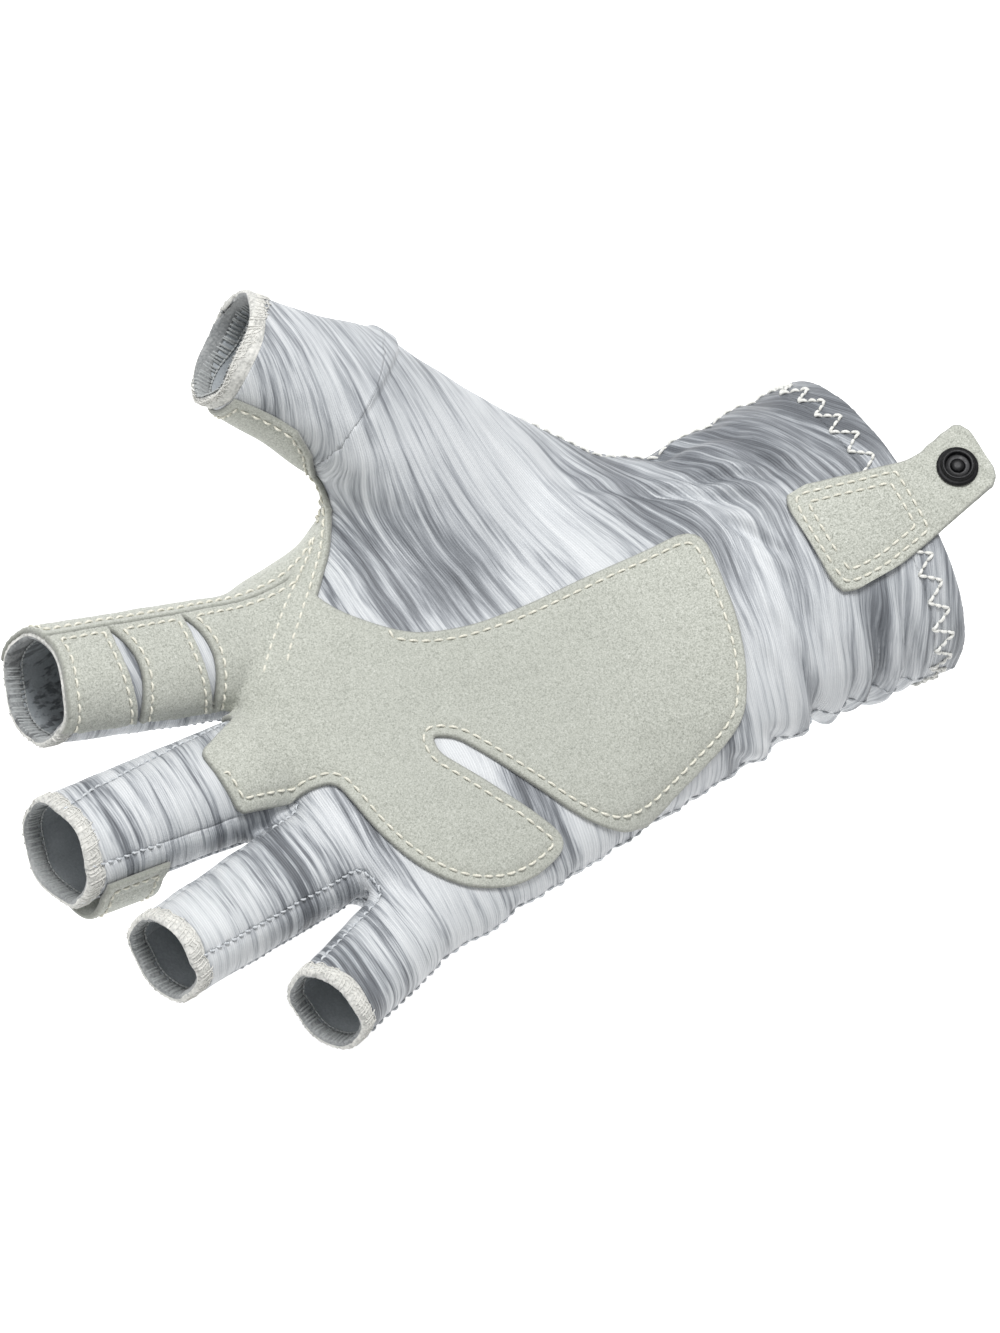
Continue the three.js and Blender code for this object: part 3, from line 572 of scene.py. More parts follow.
def fourchette_value(points, start, low, high, curl):
    inside = -points[:, 0] - start * HAND_LENGTH
    climb = np.maximum(inside, 0) * math.tan(math.radians(curl))
    return np.min([
        FOURCHETTE / 2 - np.abs(points[:, 2] - climb),
        inside,
        points[:, 1] - low * PALM_WIDTH,
        high * PALM_WIDTH - points[:, 1],
    ], axis=0)


# Depths and heights of the cloth's relief, in millimetres
UNEVENNESS = 0.3
PUCKER = 0.2
SIDE_SEAM_RIDGE = 0.15
STRIP_SEAM_GROOVE = 0.35
THUMB_SEAM_GROOVE = 0.15
THUMB_SEAM_RIDGE = 0.65
HELD_BY_TAB = 0.8
HELD_BY_PATCH = 0.85


def bell(distance, width):
    return np.exp(-((distance / width) ** 2))


out, degrees, places = hand_outness(skin)
on_hand = bell(out, 2.5)
from_tab = np.hypot(skin[:, 0] - TAB_SEWN[0], skin[:, 1] - TAB_SEWN[1])
on_hand *= 1 - HELD_BY_TAB * smoothstep(-from_tab, -22, -13) * (skin[:, 2] > 0)
under_patch = smoothstep(-skin[:, 0], 41, 47) * smoothstep(18 - skin[:, 1], 0, 6)
on_hand *= 1 - HELD_BY_PATCH * (under_patch * smoothstep(skin[:, 2], 6, 12))
strips = np.max([fourchette_value(skin, *row[1:]) for row in FOURCHETTES], axis=0)
seam_rise = skin[:, 2] - seam_height(skin)
little_side = smoothstep(-skin[:, 1], 15, 30)
puckers = np.sin(skin[:, 0] * 0.83 + 1.1 * np.sin(skin[:, 0] * 0.23))
pucker = PUCKER * puckers * bell(seam_rise, 3.2)
sunk = gathered(places, degrees) * on_hand - UNEVENNESS * unevenness(skin) + pucker * little_side * on_hand
sunk -= SIDE_SEAM_RIDGE * bell(seam_rise, 0.8) * (strips < 0)
sunk += STRIP_SEAM_GROOVE * bell(strips, 0.8) * (strips > -2)
thumb_place, _, thumb_out = thumb.locate(skin)
from_seam = thumb_place - thumb.seam
seam_shape = THUMB_SEAM_GROOVE * bell(from_seam + 1.3, 0.8) - THUMB_SEAM_RIDGE * bell(from_seam, 0.65)
sunk += seam_shape * (np.abs(thumb_out) < 6)
skin = skin - vertex_normals(skin, skin_faces) * sunk[:, None]


# Cutting the skin along its seams
def snapped(points, edges, values):
    """Slides the points nearest to where the values pass zero onto that line."""
    a, b = edges.T
    low, high = values[a], values[b]
    crossing = low * high < 0
    a, b, low, high = a[crossing], b[crossing], low[crossing], high[crossing]
    share = low / (low - high)
    spots = points[a] * (1 - share[:, None]) + points[b] * share[:, None]
    movers = np.where(share < 0.5, a, b)
    order = np.argsort(-np.minimum(share, 1 - share), kind="stable")
    points, values = points.copy(), values.copy()
    points[movers[order]] = spots[order]
    values[movers[order]] = 0
    return points, values


def side(values, faces):
    return values[faces].sum(axis=1) > 0


def tube_value(tube, station, points, ripple=0.0):
    """Past a station of a tube, and clearly below zero away from that tube."""
    place, angle, out = tube.locate(points)
    value = place - station + ripple * (np.sin(3 * angle + station) + np.sin(5 * angle))
    return np.where(out < 3, value, np.minimum(value, -5))


labels = np.zeros(len(skin_faces), dtype=int)
PALM, BACK, STRIPS, SLEEVE, HEMS, CUFF, NONE = 0, 1, 2, 5, 6, 11, 12


def split(uncut, value_of, label, highest=CUFF):
    """The skin cut where value_of passes zero. Its inner faces take the label, if theirs isn't too high."""
    points, values = snapped(uncut, skin_edges, value_of(uncut))
    labels[side(values, skin_faces) & (labels <= highest)] = label
    return points


EDGE_RIPPLE = 0.28
skin = split(skin, lambda p: seam_height(p) - p[:, 2], BACK, PALM)
for i, row in enumerate(FOURCHETTES):
    skin = split(skin, lambda p: fourchette_value(p, *row[1:]), STRIPS + i)
skin = split(skin, lambda p: tube_value(thumb, thumb.seam, p), SLEEVE)
for i, tube in enumerate(tubes):
    skin = split(skin, lambda p: tube_value(tube, tube.hem_start, p, EDGE_RIPPLE), HEMS + i)
    skin = split(skin, lambda p: tube_value(tube, tube.end, p, EDGE_RIPPLE), NONE, NONE)
skin = split(skin, lambda p: p[:, 0] + CUFF_HEM, CUFF)
skin = split(skin, lambda p: p[:, 0], NONE, NONE)
skin_normals = vertex_normals(skin, skin_faces)
skin_tree = BVHTree.FromPolygons(skin.tolist(), skin_faces[labels < NONE].tolist())


class Patch:
    """A part of the skin, with the place of each point and the way it faces."""

    def __init__(self, points, faces, normals):
        kept = np.unique(faces)
        number = np.full(len(points), -1)
        number[kept] = np.arange(len(kept))
        self.points, self.faces, self.normals = points[kept], number[faces], normals[kept]

    def finer(self, rounds=1):
        for _ in range(rounds):
            edges = edges_of(self.faces)
            count = len(self.points)
            key = edges[:, 0] * count + edges[:, 1]

            def middle(first, second):
                low, high = np.minimum(first, second), np.maximum(first, second)
                return count + np.searchsorted(key, low * count + high)

            a, b, c = self.faces.T
            ab, bc, ca = middle(a, b), middle(b, c), middle(c, a)
            faces = np.concatenate([
                np.stack([a, ab, ca], 1), np.stack([ab, b, bc], 1), np.stack([ca, bc, c], 1),
                np.stack([ab, bc, ca], 1),
            ])
            points = np.concatenate([self.points, self.points[edges].mean(axis=1)])
            normals = unit(np.concatenate([self.normals, self.normals[edges].mean(axis=1)]))
            self.points, self.faces, self.normals = points, faces, normals
        return self

    def rim(self):
        """Edges with a face on one side only, in the order of that face."""
        pairs = np.concatenate([self.faces[:, [0, 1]], self.faces[:, [1, 2]], self.faces[:, [2, 0]]])
        count = len(self.points)
        forward = pairs[:, 0] * count + pairs[:, 1]
        backward = pairs[:, 1] * count + pairs[:, 0]
        return pairs[~np.isin(forward, backward)]

    def smoother(self, rounds):
        weight = np.full(len(self.points), 0.5)
        weight[np.unique(self.rim())] = 0
        self.points = eased(self.points, edges_of(self.faces), weight, rounds)
        self.normals = unit(eased(self.normals, edges_of(self.faces), weight, rounds))
        return self

    def trimmed(self, value_of):
        """Cut along the zero of value_of, which is kept for each point that is left."""
        points, values = snapped(self.points, edges_of(self.faces), value_of(self.points))
        faces = self.faces[side(values, self.faces)]
        kept = np.unique(faces)
        part = Patch(points, faces, self.normals)
        part.values = values[kept]
        return part


def walled(name, patch, outer, inner, edge=None):
    """A closed piece between two offsets of a patch.

    With the distance to its edge it is suede, and without it cloth with a finish of its own inside.
    """
    count = len(patch.points)
    outer = np.broadcast_to(outer, (count,))[:, None]
    inner = np.broadcast_to(inner, (count,))[:, None]
    top = patch.points + patch.normals * outer
    under = patch.points + patch.normals * inner
    rim = patch.rim()
    a, b = rim.T
    walls = np.concatenate([np.stack([b, a, a + count], 1), np.stack([b, a + count, b + count], 1)])
    faces = np.concatenate([patch.faces, patch.faces[:, ::-1] + count, walls])
    made = mesh_object(name, np.concatenate([top, under]), faces)
    if edge is not None:
        store(made, "edge", np.tile(edge, 2))
        return made
    slots = np.zeros(len(faces), dtype=np.int32)
    slots[len(patch.faces):2 * len(patch.faces)] = 1
    made.data.materials.append(None)
    made.data.materials.append(None)
    made.data.polygons.foreach_set("material_index", slots)
    return made


def region(*wanted):
    return Patch(skin, skin_faces[np.isin(labels, wanted)], skin_normals)


pieces = {}
nodes_of = {}


def keep(made, *nodes):
    pieces[made.name] = made
    nodes_of[made.name] = nodes
    return made


keep(walled("knit_palm", region(PALM), 0, -CLOTH), "palm_cloth")
keep(walled("knit_back", region(BACK), 0, -CLOTH), "back_cloth")
for i, row in enumerate(FOURCHETTES):
    strip = f"fourchette_{row[0]}"
    keep(walled(f"knit_{strip}", region(STRIPS + i), 0, -CLOTH), strip)
keep(walled("knit_thumb_sleeve", region(SLEEVE), 0, -CLOTH), "thumb_sleeve")

FINGER_EDGE_ROUNDING = 0.7
FINGER_EDGE_SWELL = 0.25
CUFF_EDGE_ROUNDING = 1.05
CUFF_EDGE_SWELL = 0.2


def rounded_edge(distance, radius):
    near = np.clip(distance / radius, 0, 1)
    return radius * (1 - np.sqrt(1 - (1 - near) ** 2))


for i, tube in enumerate(tubes):
    band = region(HEMS + i).finer()
    from_end = -tube_value(tube, tube.end, band.points, EDGE_RIPPLE)
    turn = rounded_edge(np.maximum(from_end, 0), FINGER_EDGE_ROUNDING)
    swell = FINGER_EDGE_SWELL * smoothstep(FINGER_HEM - from_end, 0, 0.6)
    keep(walled(f"{tube.name}_edge", band, swell - turn, turn - CLOTH - swell), f"{tube.name}_hem")
band = region(CUFF).finer()
turn = rounded_edge(np.maximum(-band.points[:, 0], 0), CUFF_EDGE_ROUNDING)
swell = CUFF_EDGE_SWELL * smoothstep(CUFF_HEM + band.points[:, 0], 0, 0.8)
keep(walled("cuff_turned_hem", band, swell - turn, turn - CUFF_HEM_THICKNESS), "cuff_hem")


# Suede patches
CORNER_STEPS = 7
SLIT_STEPS = 16


def rounded_outline(rows):
    corners = np.array([(-along * HAND_LENGTH, across * PALM_WIDTH) for along, across, _ in rows])
    line = []
    for i, corner in enumerate(corners):
        radius = rows[i][2] * PALM_WIDTH

        def towards(other):
            return corner + (other - corner) * min(0.5, radius / np.linalg.norm(other - corner))

        start, end = towards(corners[i - 1]), towards(corners[(i + 1) % len(corners)])
        for t in np.linspace(0, 1, CORNER_STEPS)[:, None]:
            line.append(start * (1 - t) ** 2 + 2 * corner * t * (1 - t) + end * t**2)
    return np.concatenate([np.atleast_2d(row) for row in line])


def inside_outline(spots, line):
    """Signed distance of flat spots to a closed line, above zero inside it."""
    start = line
    run = np.roll(line, -1, axis=0) - start
    length = np.maximum((run**2).sum(axis=1), 1e-12)
    nearest = np.full(len(spots), np.inf)
    inside = np.zeros(len(spots), dtype=bool)
    for first, along, size in zip(start, run, length):
        offset = spots - first
        share = np.clip(offset @ along / size, 0, 1)
        nearest = np.minimum(nearest, ((offset - share[:, None] * along) ** 2).sum(axis=1))
        last = first + along
        straddles = (first[1] > spots[:, 1]) != (last[1] > spots[:, 1])
        if abs(along[1]) > 1e-12:
            reach = first[0] + (spots[:, 1] - first[1]) * along[0] / along[1]
            inside ^= straddles & (spots[:, 0] < reach)
    return np.sqrt(nearest) * np.where(inside, 1, -1)


palm_outline = rounded_outline(PALM_PATCH)
side_outline = rounded_outline(SIDE_PATCH)


def slit_outline(along, across, length, breadth, bow):
    axis = facing(FINGERS[0][3], 0)[:2]
    forward = -axis
    aside = np.array([-forward[1], forward[0]])
    centre = np.array([-along * HAND_LENGTH, across * PALM_WIDTH])
    low = centre - aside * length / 2 * FINGER_WIDTH
    high = centre + aside * length / 2 * FINGER_WIDTH
    near = centre + forward * (2 * bow + breadth) * FINGER_WIDTH
    past = centre + forward * (2 * bow - breadth) * FINGER_WIDTH
    t = np.linspace(0, 1, SLIT_STEPS)[:-1, None]
    return np.concatenate([
        low * (1 - t) ** 2 + 2 * near * t * (1 - t) + high * t**2,
        high * (1 - t) ** 2 + 2 * past * t * (1 - t) + low * t**2,
    ])


slit_outlines = [slit_outline(*row) for row in FLEX_SLITS]


def palm_side(points, drop):
    return points[:, 2] - seam_height(points) + drop


# How far the patch's edge steps back near the little finger's side, and where along the hand
PATCH_EASE = 2.2
PATCH_EASE_AT = 56
PATCH_EASE_REACH = 20


def palm_patch_edges(points):
    """Distances inside the palm patch's own edge, from its seam and from the slits."""
    flat = points[:, :2]
    own = np.minimum(inside_outline(flat, palm_outline), palm_side(points, -PALM_PATCH_LIFT))
    stepped_back = PATCH_EASE * bell(points[:, 0] + PATCH_EASE_AT, PATCH_EASE_REACH)
    stepped_back = stepped_back * smoothstep(-points[:, 1], 16, 34)
    from_end = -tube_value(index, index.end, points, EDGE_RIPPLE)
    own = np.min([own - stepped_back, points[:, 2], from_end], axis=0)
    seam = -inside_outline(flat, side_outline)
    slits = np.min([-inside_outline(flat, line) for line in slit_outlines], axis=0)
    return own, seam, slits


def palm_patch_value(points):
    return np.min(palm_patch_edges(points), axis=0)


thumb_centre, _, thumb_palmward, thumb_across, _, _ = thumb.section(np.array([thumb.seam]))
thumb_axis = np.cross(thumb_across[0], thumb_palmward[0])
thumb_outline = np.array(THUMB_PATCH) * THUMB_WIDTH


def thumb_patch_value(points):
    offset = points - thumb_centre[0]
    flat = np.stack([offset @ thumb_axis, offset @ thumb_palmward[0]], axis=1)
    inside = np.minimum(inside_outline(flat, thumb_outline), offset @ thumb_across[0])
    return np.minimum(inside, thumb.hem_start - 0.3 - thumb.locate(points)[0])


def side_patch_value(points):
    above_web = np.minimum(points[:, 2] - WEB_RISE * PALM_DEPTH, points[:, 0] + WEB_END * HAND_LENGTH)
    web = np.min([
        inside_outline(points[:, :2], side_outline),
        palm_side(points, SIDE_PATCH_DROP),
        -above_web,
        -tube_value(index, index.end, points, EDGE_RIPPLE),
    ], axis=0)
    return np.maximum(web, thumb_patch_value(points))


SUEDE_LIFT = 0.12
SUEDE_TOP = 1.2
SUEDE_ROUNDING = 0.55
NARROW_SUEDE_ROUNDING = 0.5
STITCH_DIP = 0.3
STITCH_INSET = 2.25
INDEX_END_INSET = 2.6
INDEX_ROWS = -112
INDEX_SIDE = 3
SEAM_INSET = 1.7


def suede_patch(node, value_of, rows_of, box_low, box_high):
    """A suede piece that lies on the skin, with a dip along its rows of stitches."""
    centres = skin[skin_faces].mean(axis=1)
    wanted = (labels < NONE) & np.all((centres > box_low) & (centres < box_high), axis=1)
    near = Patch(skin, skin_faces[wanted], skin_normals)
    values = value_of(near.points)
    near = Patch(near.points, near.faces[(values[near.faces] > -2.5).any(axis=1)], near.normals)
    part = near.finer().smoother(4).trimmed(value_of)
    part.rows = rows_of(part.points)
    edge = np.maximum(part.values, 0)
    part.top = SUEDE_TOP - rounded_edge(edge, SUEDE_ROUNDING) - STITCH_DIP * bell(part.rows, 0.8)
    keep(walled(f"suede_{node}", part, part.top, SUEDE_LIFT, edge), node)
    return part


def palm_rows(points):
    own, seam, slits = palm_patch_edges(points)
    from_end = -tube_value(index, index.end, points, EDGE_RIPPLE) - INDEX_END_INSET
    on_index = (points[:, 0] < INDEX_ROWS) & (points[:, 1] > INDEX_SIDE)
    own = np.where(on_index, from_end, own - STITCH_INSET)
    return np.min([own, seam - SEAM_INSET, slits - SEAM_INSET], axis=0)


def side_rows(points):
    return side_patch_value(points) - SEAM_INSET


palm_part = suede_patch("palm_patch", palm_patch_value, palm_rows, (-215, -60, -2), (-30, 60, 60))
side_part = suede_patch("side_patch", side_patch_value, side_rows, (-215, 20, -25), (-80, 100, 60))


# Wrist tab
def palm_height(place, y):
    centre, half_width, half_depth, middle, _, square = hand_section(place)
    aside = np.clip(np.abs(y - centre) / half_width, 0, 0.999)
    return middle + half_depth * (1 - aside**square) ** (1 / square)


tab_centre = hand_section(np.array([0.0]))[0][0]
tab_base = palm_height(np.array([0.0]), tab_centre)[0] + 0.3
tab_left = np.stack([TAB_ROWS[:, 0] * TAB_LENGTH, TAB_ROWS[:, 1] * PALM_WIDTH], axis=1)
tab_right = np.stack([TAB_ROWS[:, 0] * TAB_LENGTH, TAB_ROWS[:, 2] * PALM_WIDTH], axis=1)
tab_corners = np.concatenate([tab_left, tab_right[::-1]])


def chaikin(line, rounds):
    for _ in range(rounds):
        after = np.roll(line, -1, axis=0)
        line = np.stack([line * 0.75 + after * 0.25, line * 0.25 + after * 0.75], axis=1).reshape(-1, 2)
    return line


tab_outline = chaikin(tab_corners, 2)


def tab_surface(x, y):
    """Height of the tab's underside, on the cloth up to the cuff and clear of it past that."""
    place = np.clip(-x / HAND_LENGTH, 0, 1)
    on_cloth = palm_height(place, y)
    lying = np.array([
        (skin_tree.ray_cast(Vector((px, py, 90)), Vector((0, 0, -1)))[0] or Vector((0, 0, low)))[2]
        for px, py, low in zip(np.minimum(x, -0.6), y, on_cloth)
    ])
    free = tab_base + TAB_SLOPE * x - TAB_CURL * (y - SNAP_SEAT[1]) ** 2 * smoothstep(x, 14, 2)
    past = smoothstep(x, -1.0, TAB_FLATTENING + 1)
    return lying * (1 - past) + free * past + TAB_LIFT


def grid_faces(rows, columns):
    i, j = np.meshgrid(np.arange(rows - 1), np.arange(columns - 1), indexing="ij")
    a = (i * columns + j).ravel()
    b, c, d = a + columns, a + 1, a + columns + 1
    return np.concatenate([np.stack([a, b, d], 1), np.stack([a, d, c], 1)])


# The rows of stitches on the tab, how far in they run, and where their box ends towards the cuff
TAB_ROW_INSETS = (2.0, 4.2)
TAB_BOX_END = -2.2


def tab_box(part):
    """How far in each point lies from the edge of the tab's sewn part."""
    return np.minimum(np.maximum(part.values, 0), TAB_BOX_END + TAB_ROW_INSETS[0] - part.points[:, 0])


def tab_piece():
    xs = np.arange(tab_corners[:, 0].min() - 1, tab_corners[:, 0].max() + 1, TAB_STEP)
    ys = np.arange(tab_corners[:, 1].min() - 1, tab_corners[:, 1].max() + 1, TAB_STEP)
    x, y = np.meshgrid(xs, ys, indexing="ij")
    x, y = x.ravel(), y.ravel()
    faces = grid_faces(len(xs), len(ys))
    points = np.stack([x, y, tab_surface(x, y)], axis=1)
    points = eased(points, edges_of(faces), 0.5, 60)
    sheet = Patch(points, faces, vertex_normals(points, faces))

    def inside(p):
        from_snap = np.hypot(p[:, 0] - SNAP_SEAT[0], p[:, 1] - SNAP_SEAT[1])
        return np.minimum(inside_outline(p[:, :2], tab_outline), from_snap - SNAP_HOLE)

    part = sheet.trimmed(inside)
    hole = np.hypot(part.points[:, 0] - SNAP_SEAT[0], part.points[:, 1] - SNAP_SEAT[1])
    edge = np.maximum(part.values, 0)
    from_rows = np.min([np.abs(tab_box(part) - inset) for inset in TAB_ROW_INSETS], axis=0)
    ripples = np.sin(part.points[:, 0] * 1.5 + part.points[:, 1] * 0.5)
    creases = 0.3 * ripples * bell(hole - 7, 2.5) * smoothstep(part.points[:, 0], 0, 6)
    dip = STITCH_DIP * bell(from_rows, 0.7) + 0.35 * np.exp(-((hole / 5.4) ** 4))
    part.normals = vertex_normals(part.points, part.faces)
    part.top = SUEDE_TOP - rounded_edge(edge, NARROW_SUEDE_ROUNDING) - dip + creases
    keep(walled("suede_wrist_tab", part, part.top, np.minimum(creases, 0), edge), "wrist_tab")
    return part


tab_part = tab_piece()


# The snap, pressed from round plate. Each step: how far in from the last edge, and how far up
SOCKET_STEPS = (
    (0.3, 0.3), (0.5, 0.1), (0.22, 0.68), (0.25, 0.12), (0.4, -0.08), (0.25, -0.9), (0.95, -0.12),
    (0.25, 0.55), (0.45, 0.2), (0.4, 0.04),
)
SOCKET_FLANGE = 0.55
CAP_STEPS = ((0.35, 0.25), (1.2, 0.16), (1.3, 0.04))
POST_RADIUS = 1.3


def face_up(made, direction):
    """Select only the flat end that faces up (1) or down (-1)."""
    bpy.ops.object.mode_set(mode="EDIT")
    bpy.ops.mesh.select_all(action="DESELECT")
    bpy.ops.object.mode_set(mode="OBJECT")
    ends = [f for f in made.data.polygons if f.normal.z * direction > 0.99]
    end = max(ends, key=lambda f: f.center.z * direction)
    end.select = True
    bpy.ops.object.mode_set(mode="EDIT")
    bpy.ops.mesh.select_mode(type="FACE")


def pressed_disc(name, radius, low, thick, steps, facing_up):
    """A round plate from height low upwards, with its rings pressed in."""
    bpy.ops.object.select_all(action="DESELECT")
    bpy.ops.mesh.primitive_cylinder_add(
        vertices=SNAP_SIDES, radius=radius * MM, depth=thick * MM, location=(0, 0, (low + thick / 2) * MM),
    )
    made = bpy.context.object
    made.name = name
    bpy.ops.object.transform_apply(location=True)
    face_up(made, facing_up)
    for inwards, rise in steps:
        bpy.ops.mesh.inset(thickness=inwards * MM, depth=rise * MM)
    bpy.ops.object.mode_set(mode="OBJECT")
    return made


def seated(made):
    """Bevel the piece, and bring it from upright at the centre to its seat on the tab."""
    soft = made.modifiers.new("soft edges", "BEVEL")
    soft.width = SNAP_EDGE * MM
    soft.segments = 3
    soft.limit_method = "ANGLE"
    soft.angle_limit = math.radians(24)
    bpy.ops.object.modifier_apply(modifier=soft.name)
    bpy.ops.object.shade_smooth_by_angle(angle=math.radians(40))
    made.rotation_euler = (0, -math.atan(TAB_SLOPE), 0)
    made.location = (
        SNAP_SEAT[0] * MM, SNAP_SEAT[1] * MM, (tab_base + TAB_SLOPE * SNAP_SEAT[0]) * MM,
    )
    bpy.ops.object.transform_apply(location=True, rotation=True)
    return made


socket = pressed_disc("snap_socket_pressed", SNAP_RADIUS, SUEDE_TOP + 0.1, SOCKET_FLANGE, SOCKET_STEPS, 1)
keep(seated(socket), "snap_socket")
half_cap = SNAP_CAP_THICKNESS / 2
cap = pressed_disc("snap_cap_pressed", SNAP_CAP_RADIUS, -0.2 - half_cap, half_cap, CAP_STEPS, -1)
face_up(cap, 1)
bpy.ops.mesh.inset(thickness=(SNAP_CAP_RADIUS - POST_RADIUS) * MM)
bpy.ops.mesh.extrude_region_move(TRANSFORM_OT_translate={"value": (0, 0, (SUEDE_TOP + 0.15) * MM)})
bpy.ops.object.mode_set(mode="OBJECT")
keep(seated(cap), "snap_cap")


# Pull loop on the middle finger
def pull_loop():
    end = middle_finger.hem_start - LOOP_INSET
    places = end - LOOP_LENGTH * (1 - np.linspace(0, 1, 36))
    share = np.linspace(0, 1, 110)
    standing = np.clip((share - LOOP_FLAT) / (1 - 2 * LOOP_FLAT), 0, 1)
    angle = np.radians(LOOP_FROM + (LOOP_TO - LOOP_FROM) * share)
    outset = LOOP_LIFT + LOOP_RISE * np.sin(np.pi * standing)
    points = np.stack([middle_finger.points(place, angle, outset) for place in places])
    rows, columns = points.shape[:2]
    faces = grid_faces(rows, columns)[:, [0, 2, 1]]
    flat = points.reshape(-1, 3)
    sheet = Patch(flat, faces, vertex_normals(flat, faces))
    along = np.repeat(np.linspace(0, LOOP_LENGTH, rows), columns)
    around = np.tile(share * LOOP_SPAN, rows)
    edge = np.min([along, LOOP_LENGTH - along, around, LOOP_SPAN - around], axis=0)
    sheet.rows = edge - LOOP_STITCH_INSET
    sheet.top = SUEDE_TOP - rounded_edge(edge, NARROW_SUEDE_ROUNDING) - 0.25 * bell(sheet.rows, 0.7)
    keep(walled("suede_pull_loop", sheet, sheet.top, 0, edge), "pull_loop")
    return sheet


loop_part = pull_loop()


# Threads
def run_along(points):
    """How far along its line each point lies."""
    return np.concatenate([[0], np.cumsum(np.linalg.norm(np.diff(points, axis=0), axis=1))])


def between(spots, run, values):
    """The vectors at some spots of a run, from those at its points."""
    return np.stack([np.interp(spots, run, values[:, axis]) for axis in range(3)], -1)


def contours(points, normals, faces, values):
    """The lines on a mesh where values pass zero, each as its points and normals."""
    above = values[faces] > 0
    mixed = (above.sum(axis=1) % 3) > 0
    faces, above = faces[mixed], above[mixed]
    odd = np.where(above.sum(axis=1) == 1, above.argmax(axis=1), above.argmin(axis=1))
    rows = np.arange(len(faces))
    tip = faces[rows, odd]
    after, before = faces[rows, (odd + 1) % 3], faces[rows, (odd + 2) % 3]
    count = len(points)

    def key(a, b):
        return np.minimum(a, b) * count + np.maximum(a, b)

    first, second = key(tip, after), key(tip, before)
    swap = above[rows, odd]
    start, end = np.where(swap, second, first), np.where(swap, first, second)
    following = dict(zip(start.tolist(), end.tolist()))
    heads = [k for k in start.tolist() if k not in set(end.tolist())]
    lines = []
    while following:
        here = heads.pop() if heads else next(iter(following))
        chain = [here]
        while here in following:
            here = following.pop(here)
            chain.append(here)
        a, b = np.array(chain) // count, np.array(chain) % count
        share = (values[a] / np.where(values[a] == values[b], 1, values[a] - values[b]))[:, None]
        spots = points[a] * (1 - share) + points[b] * share
        lines.append((spots, unit(normals[a] * (1 - share) + normals[b] * share)))
    return lines


LINE_STEP = 0.4


def evenly(points, normals):
    """The line again, with its steps evened out."""
    closed = np.linalg.norm(points[0] - points[-1]) < 2
    for _ in range(4):
        inner = (points[:-2] + 2 * points[1:-1] + points[2:]) / 4
        points = np.concatenate([points[:1], inner, points[-1:]])
        if closed:
            points[0] = points[-1] = (points[1] + points[-2]) / 2
    run = run_along(points)
    spots = np.linspace(0, run[-1], max(4, int(run[-1] / LINE_STEP)))
    return between(spots, run, points), unit(between(spots, run, normals))


THREAD_SIDES = 6


def strands(paths, normals, radii):
    """Closed threads along many short paths of equal point count."""
    tangent = unit(np.gradient(paths, axis=1))
    aside = unit(np.cross(tangent, normals))
    upward = np.cross(aside, tangent)
    turn = np.linspace(0, 2 * np.pi, THREAD_SIDES, endpoint=False)
    ring = aside[:, :, None] * np.cos(turn)[:, None] + upward[:, :, None] * np.sin(turn)[:, None]
    rings = paths[:, :, None] + ring * radii[None, :, None, None]
    return joined([loft(one) for one in rings])


STITCH_TAPER = np.array([0.45, 0.85, 1, 1, 1, 0.85, 0.45])
STITCH_ARCH = np.array([-0.9, 0.1, 0.75, 0.9, 0.75, 0.1, -0.9])


def stitched(lines, pitch, length, radius, lift, slant=0.0):
    """Stitches along lines, each dipping into the cloth at its ends."""
    made = []
    for points, normals in lines:
        run = run_along(points)
        count = int(run[-1] // pitch)
        if count < 1:
            continue
        middles = (run[-1] - count * pitch) / 2 + pitch * (np.arange(count) + 0.5)
        spots = middles[:, None] + np.linspace(-0.5, 0.5, len(STITCH_TAPER))[None] * length
        along = between(spots, run, points)
        facing_up = unit(between(spots, run, normals))
        aside = unit(np.cross(np.gradient(along, axis=1), facing_up))
        path = along + facing_up * (lift + radius * STITCH_ARCH)[None, :, None]
        path = path + aside * (slant * np.linspace(-0.5, 0.5, len(STITCH_TAPER)))[None, :, None]
        made.append(strands(path, facing_up, radius * STITCH_TAPER))
    return joined(made)


def long_enough(lines, least):
    found = []
    for points, normals in lines:
        if np.linalg.norm(np.diff(points, axis=0), axis=1).sum() > least:
            found.append(evenly(points, normals))
    return found


LEAST_ROW = 8
LEAST_SEAM = 6
LEAST_SIDE_SEAM = 15


def lines_on(part, *fields):
    """The lines on top of a suede piece where any of the fields passes zero."""
    top = part.points + part.normals * np.reshape(part.top, (-1, 1))
    lines = []
    for values in fields:
        lines += contours(top, part.normals, part.faces, values)
    return long_enough(lines, LEAST_ROW)


# Each kind of stitch, in millimetres
PATCH_STITCH = {"pitch": 2.65, "length": 2.1, "radius": 0.28, "lift": 0.1}
TAB_STITCH = {"pitch": 2.5, "length": 1.95, "radius": 0.28, "lift": 0.1}
LOOP_STITCH = {"pitch": 2.4, "length": 1.9, "radius": 0.26, "lift": 0.1}
STRIP_STITCH = {"pitch": 2.0, "length": 1.5, "radius": 0.26, "lift": 0.02, "slant": 0.35}
THUMB_SIDE_STITCH = {"pitch": 3.0, "length": 2.6, "radius": 0.36, "lift": 0.02, "slant": 0.5}
LITTLE_SIDE_STITCH = {"pitch": 2.6, "length": 2.2, "radius": 0.25, "lift": 0.02, "slant": 0.2}


def sewn(place, lines, stitch):
    keep(mesh_object(f"stitches_{place}", *stitched(lines, **stitch)))


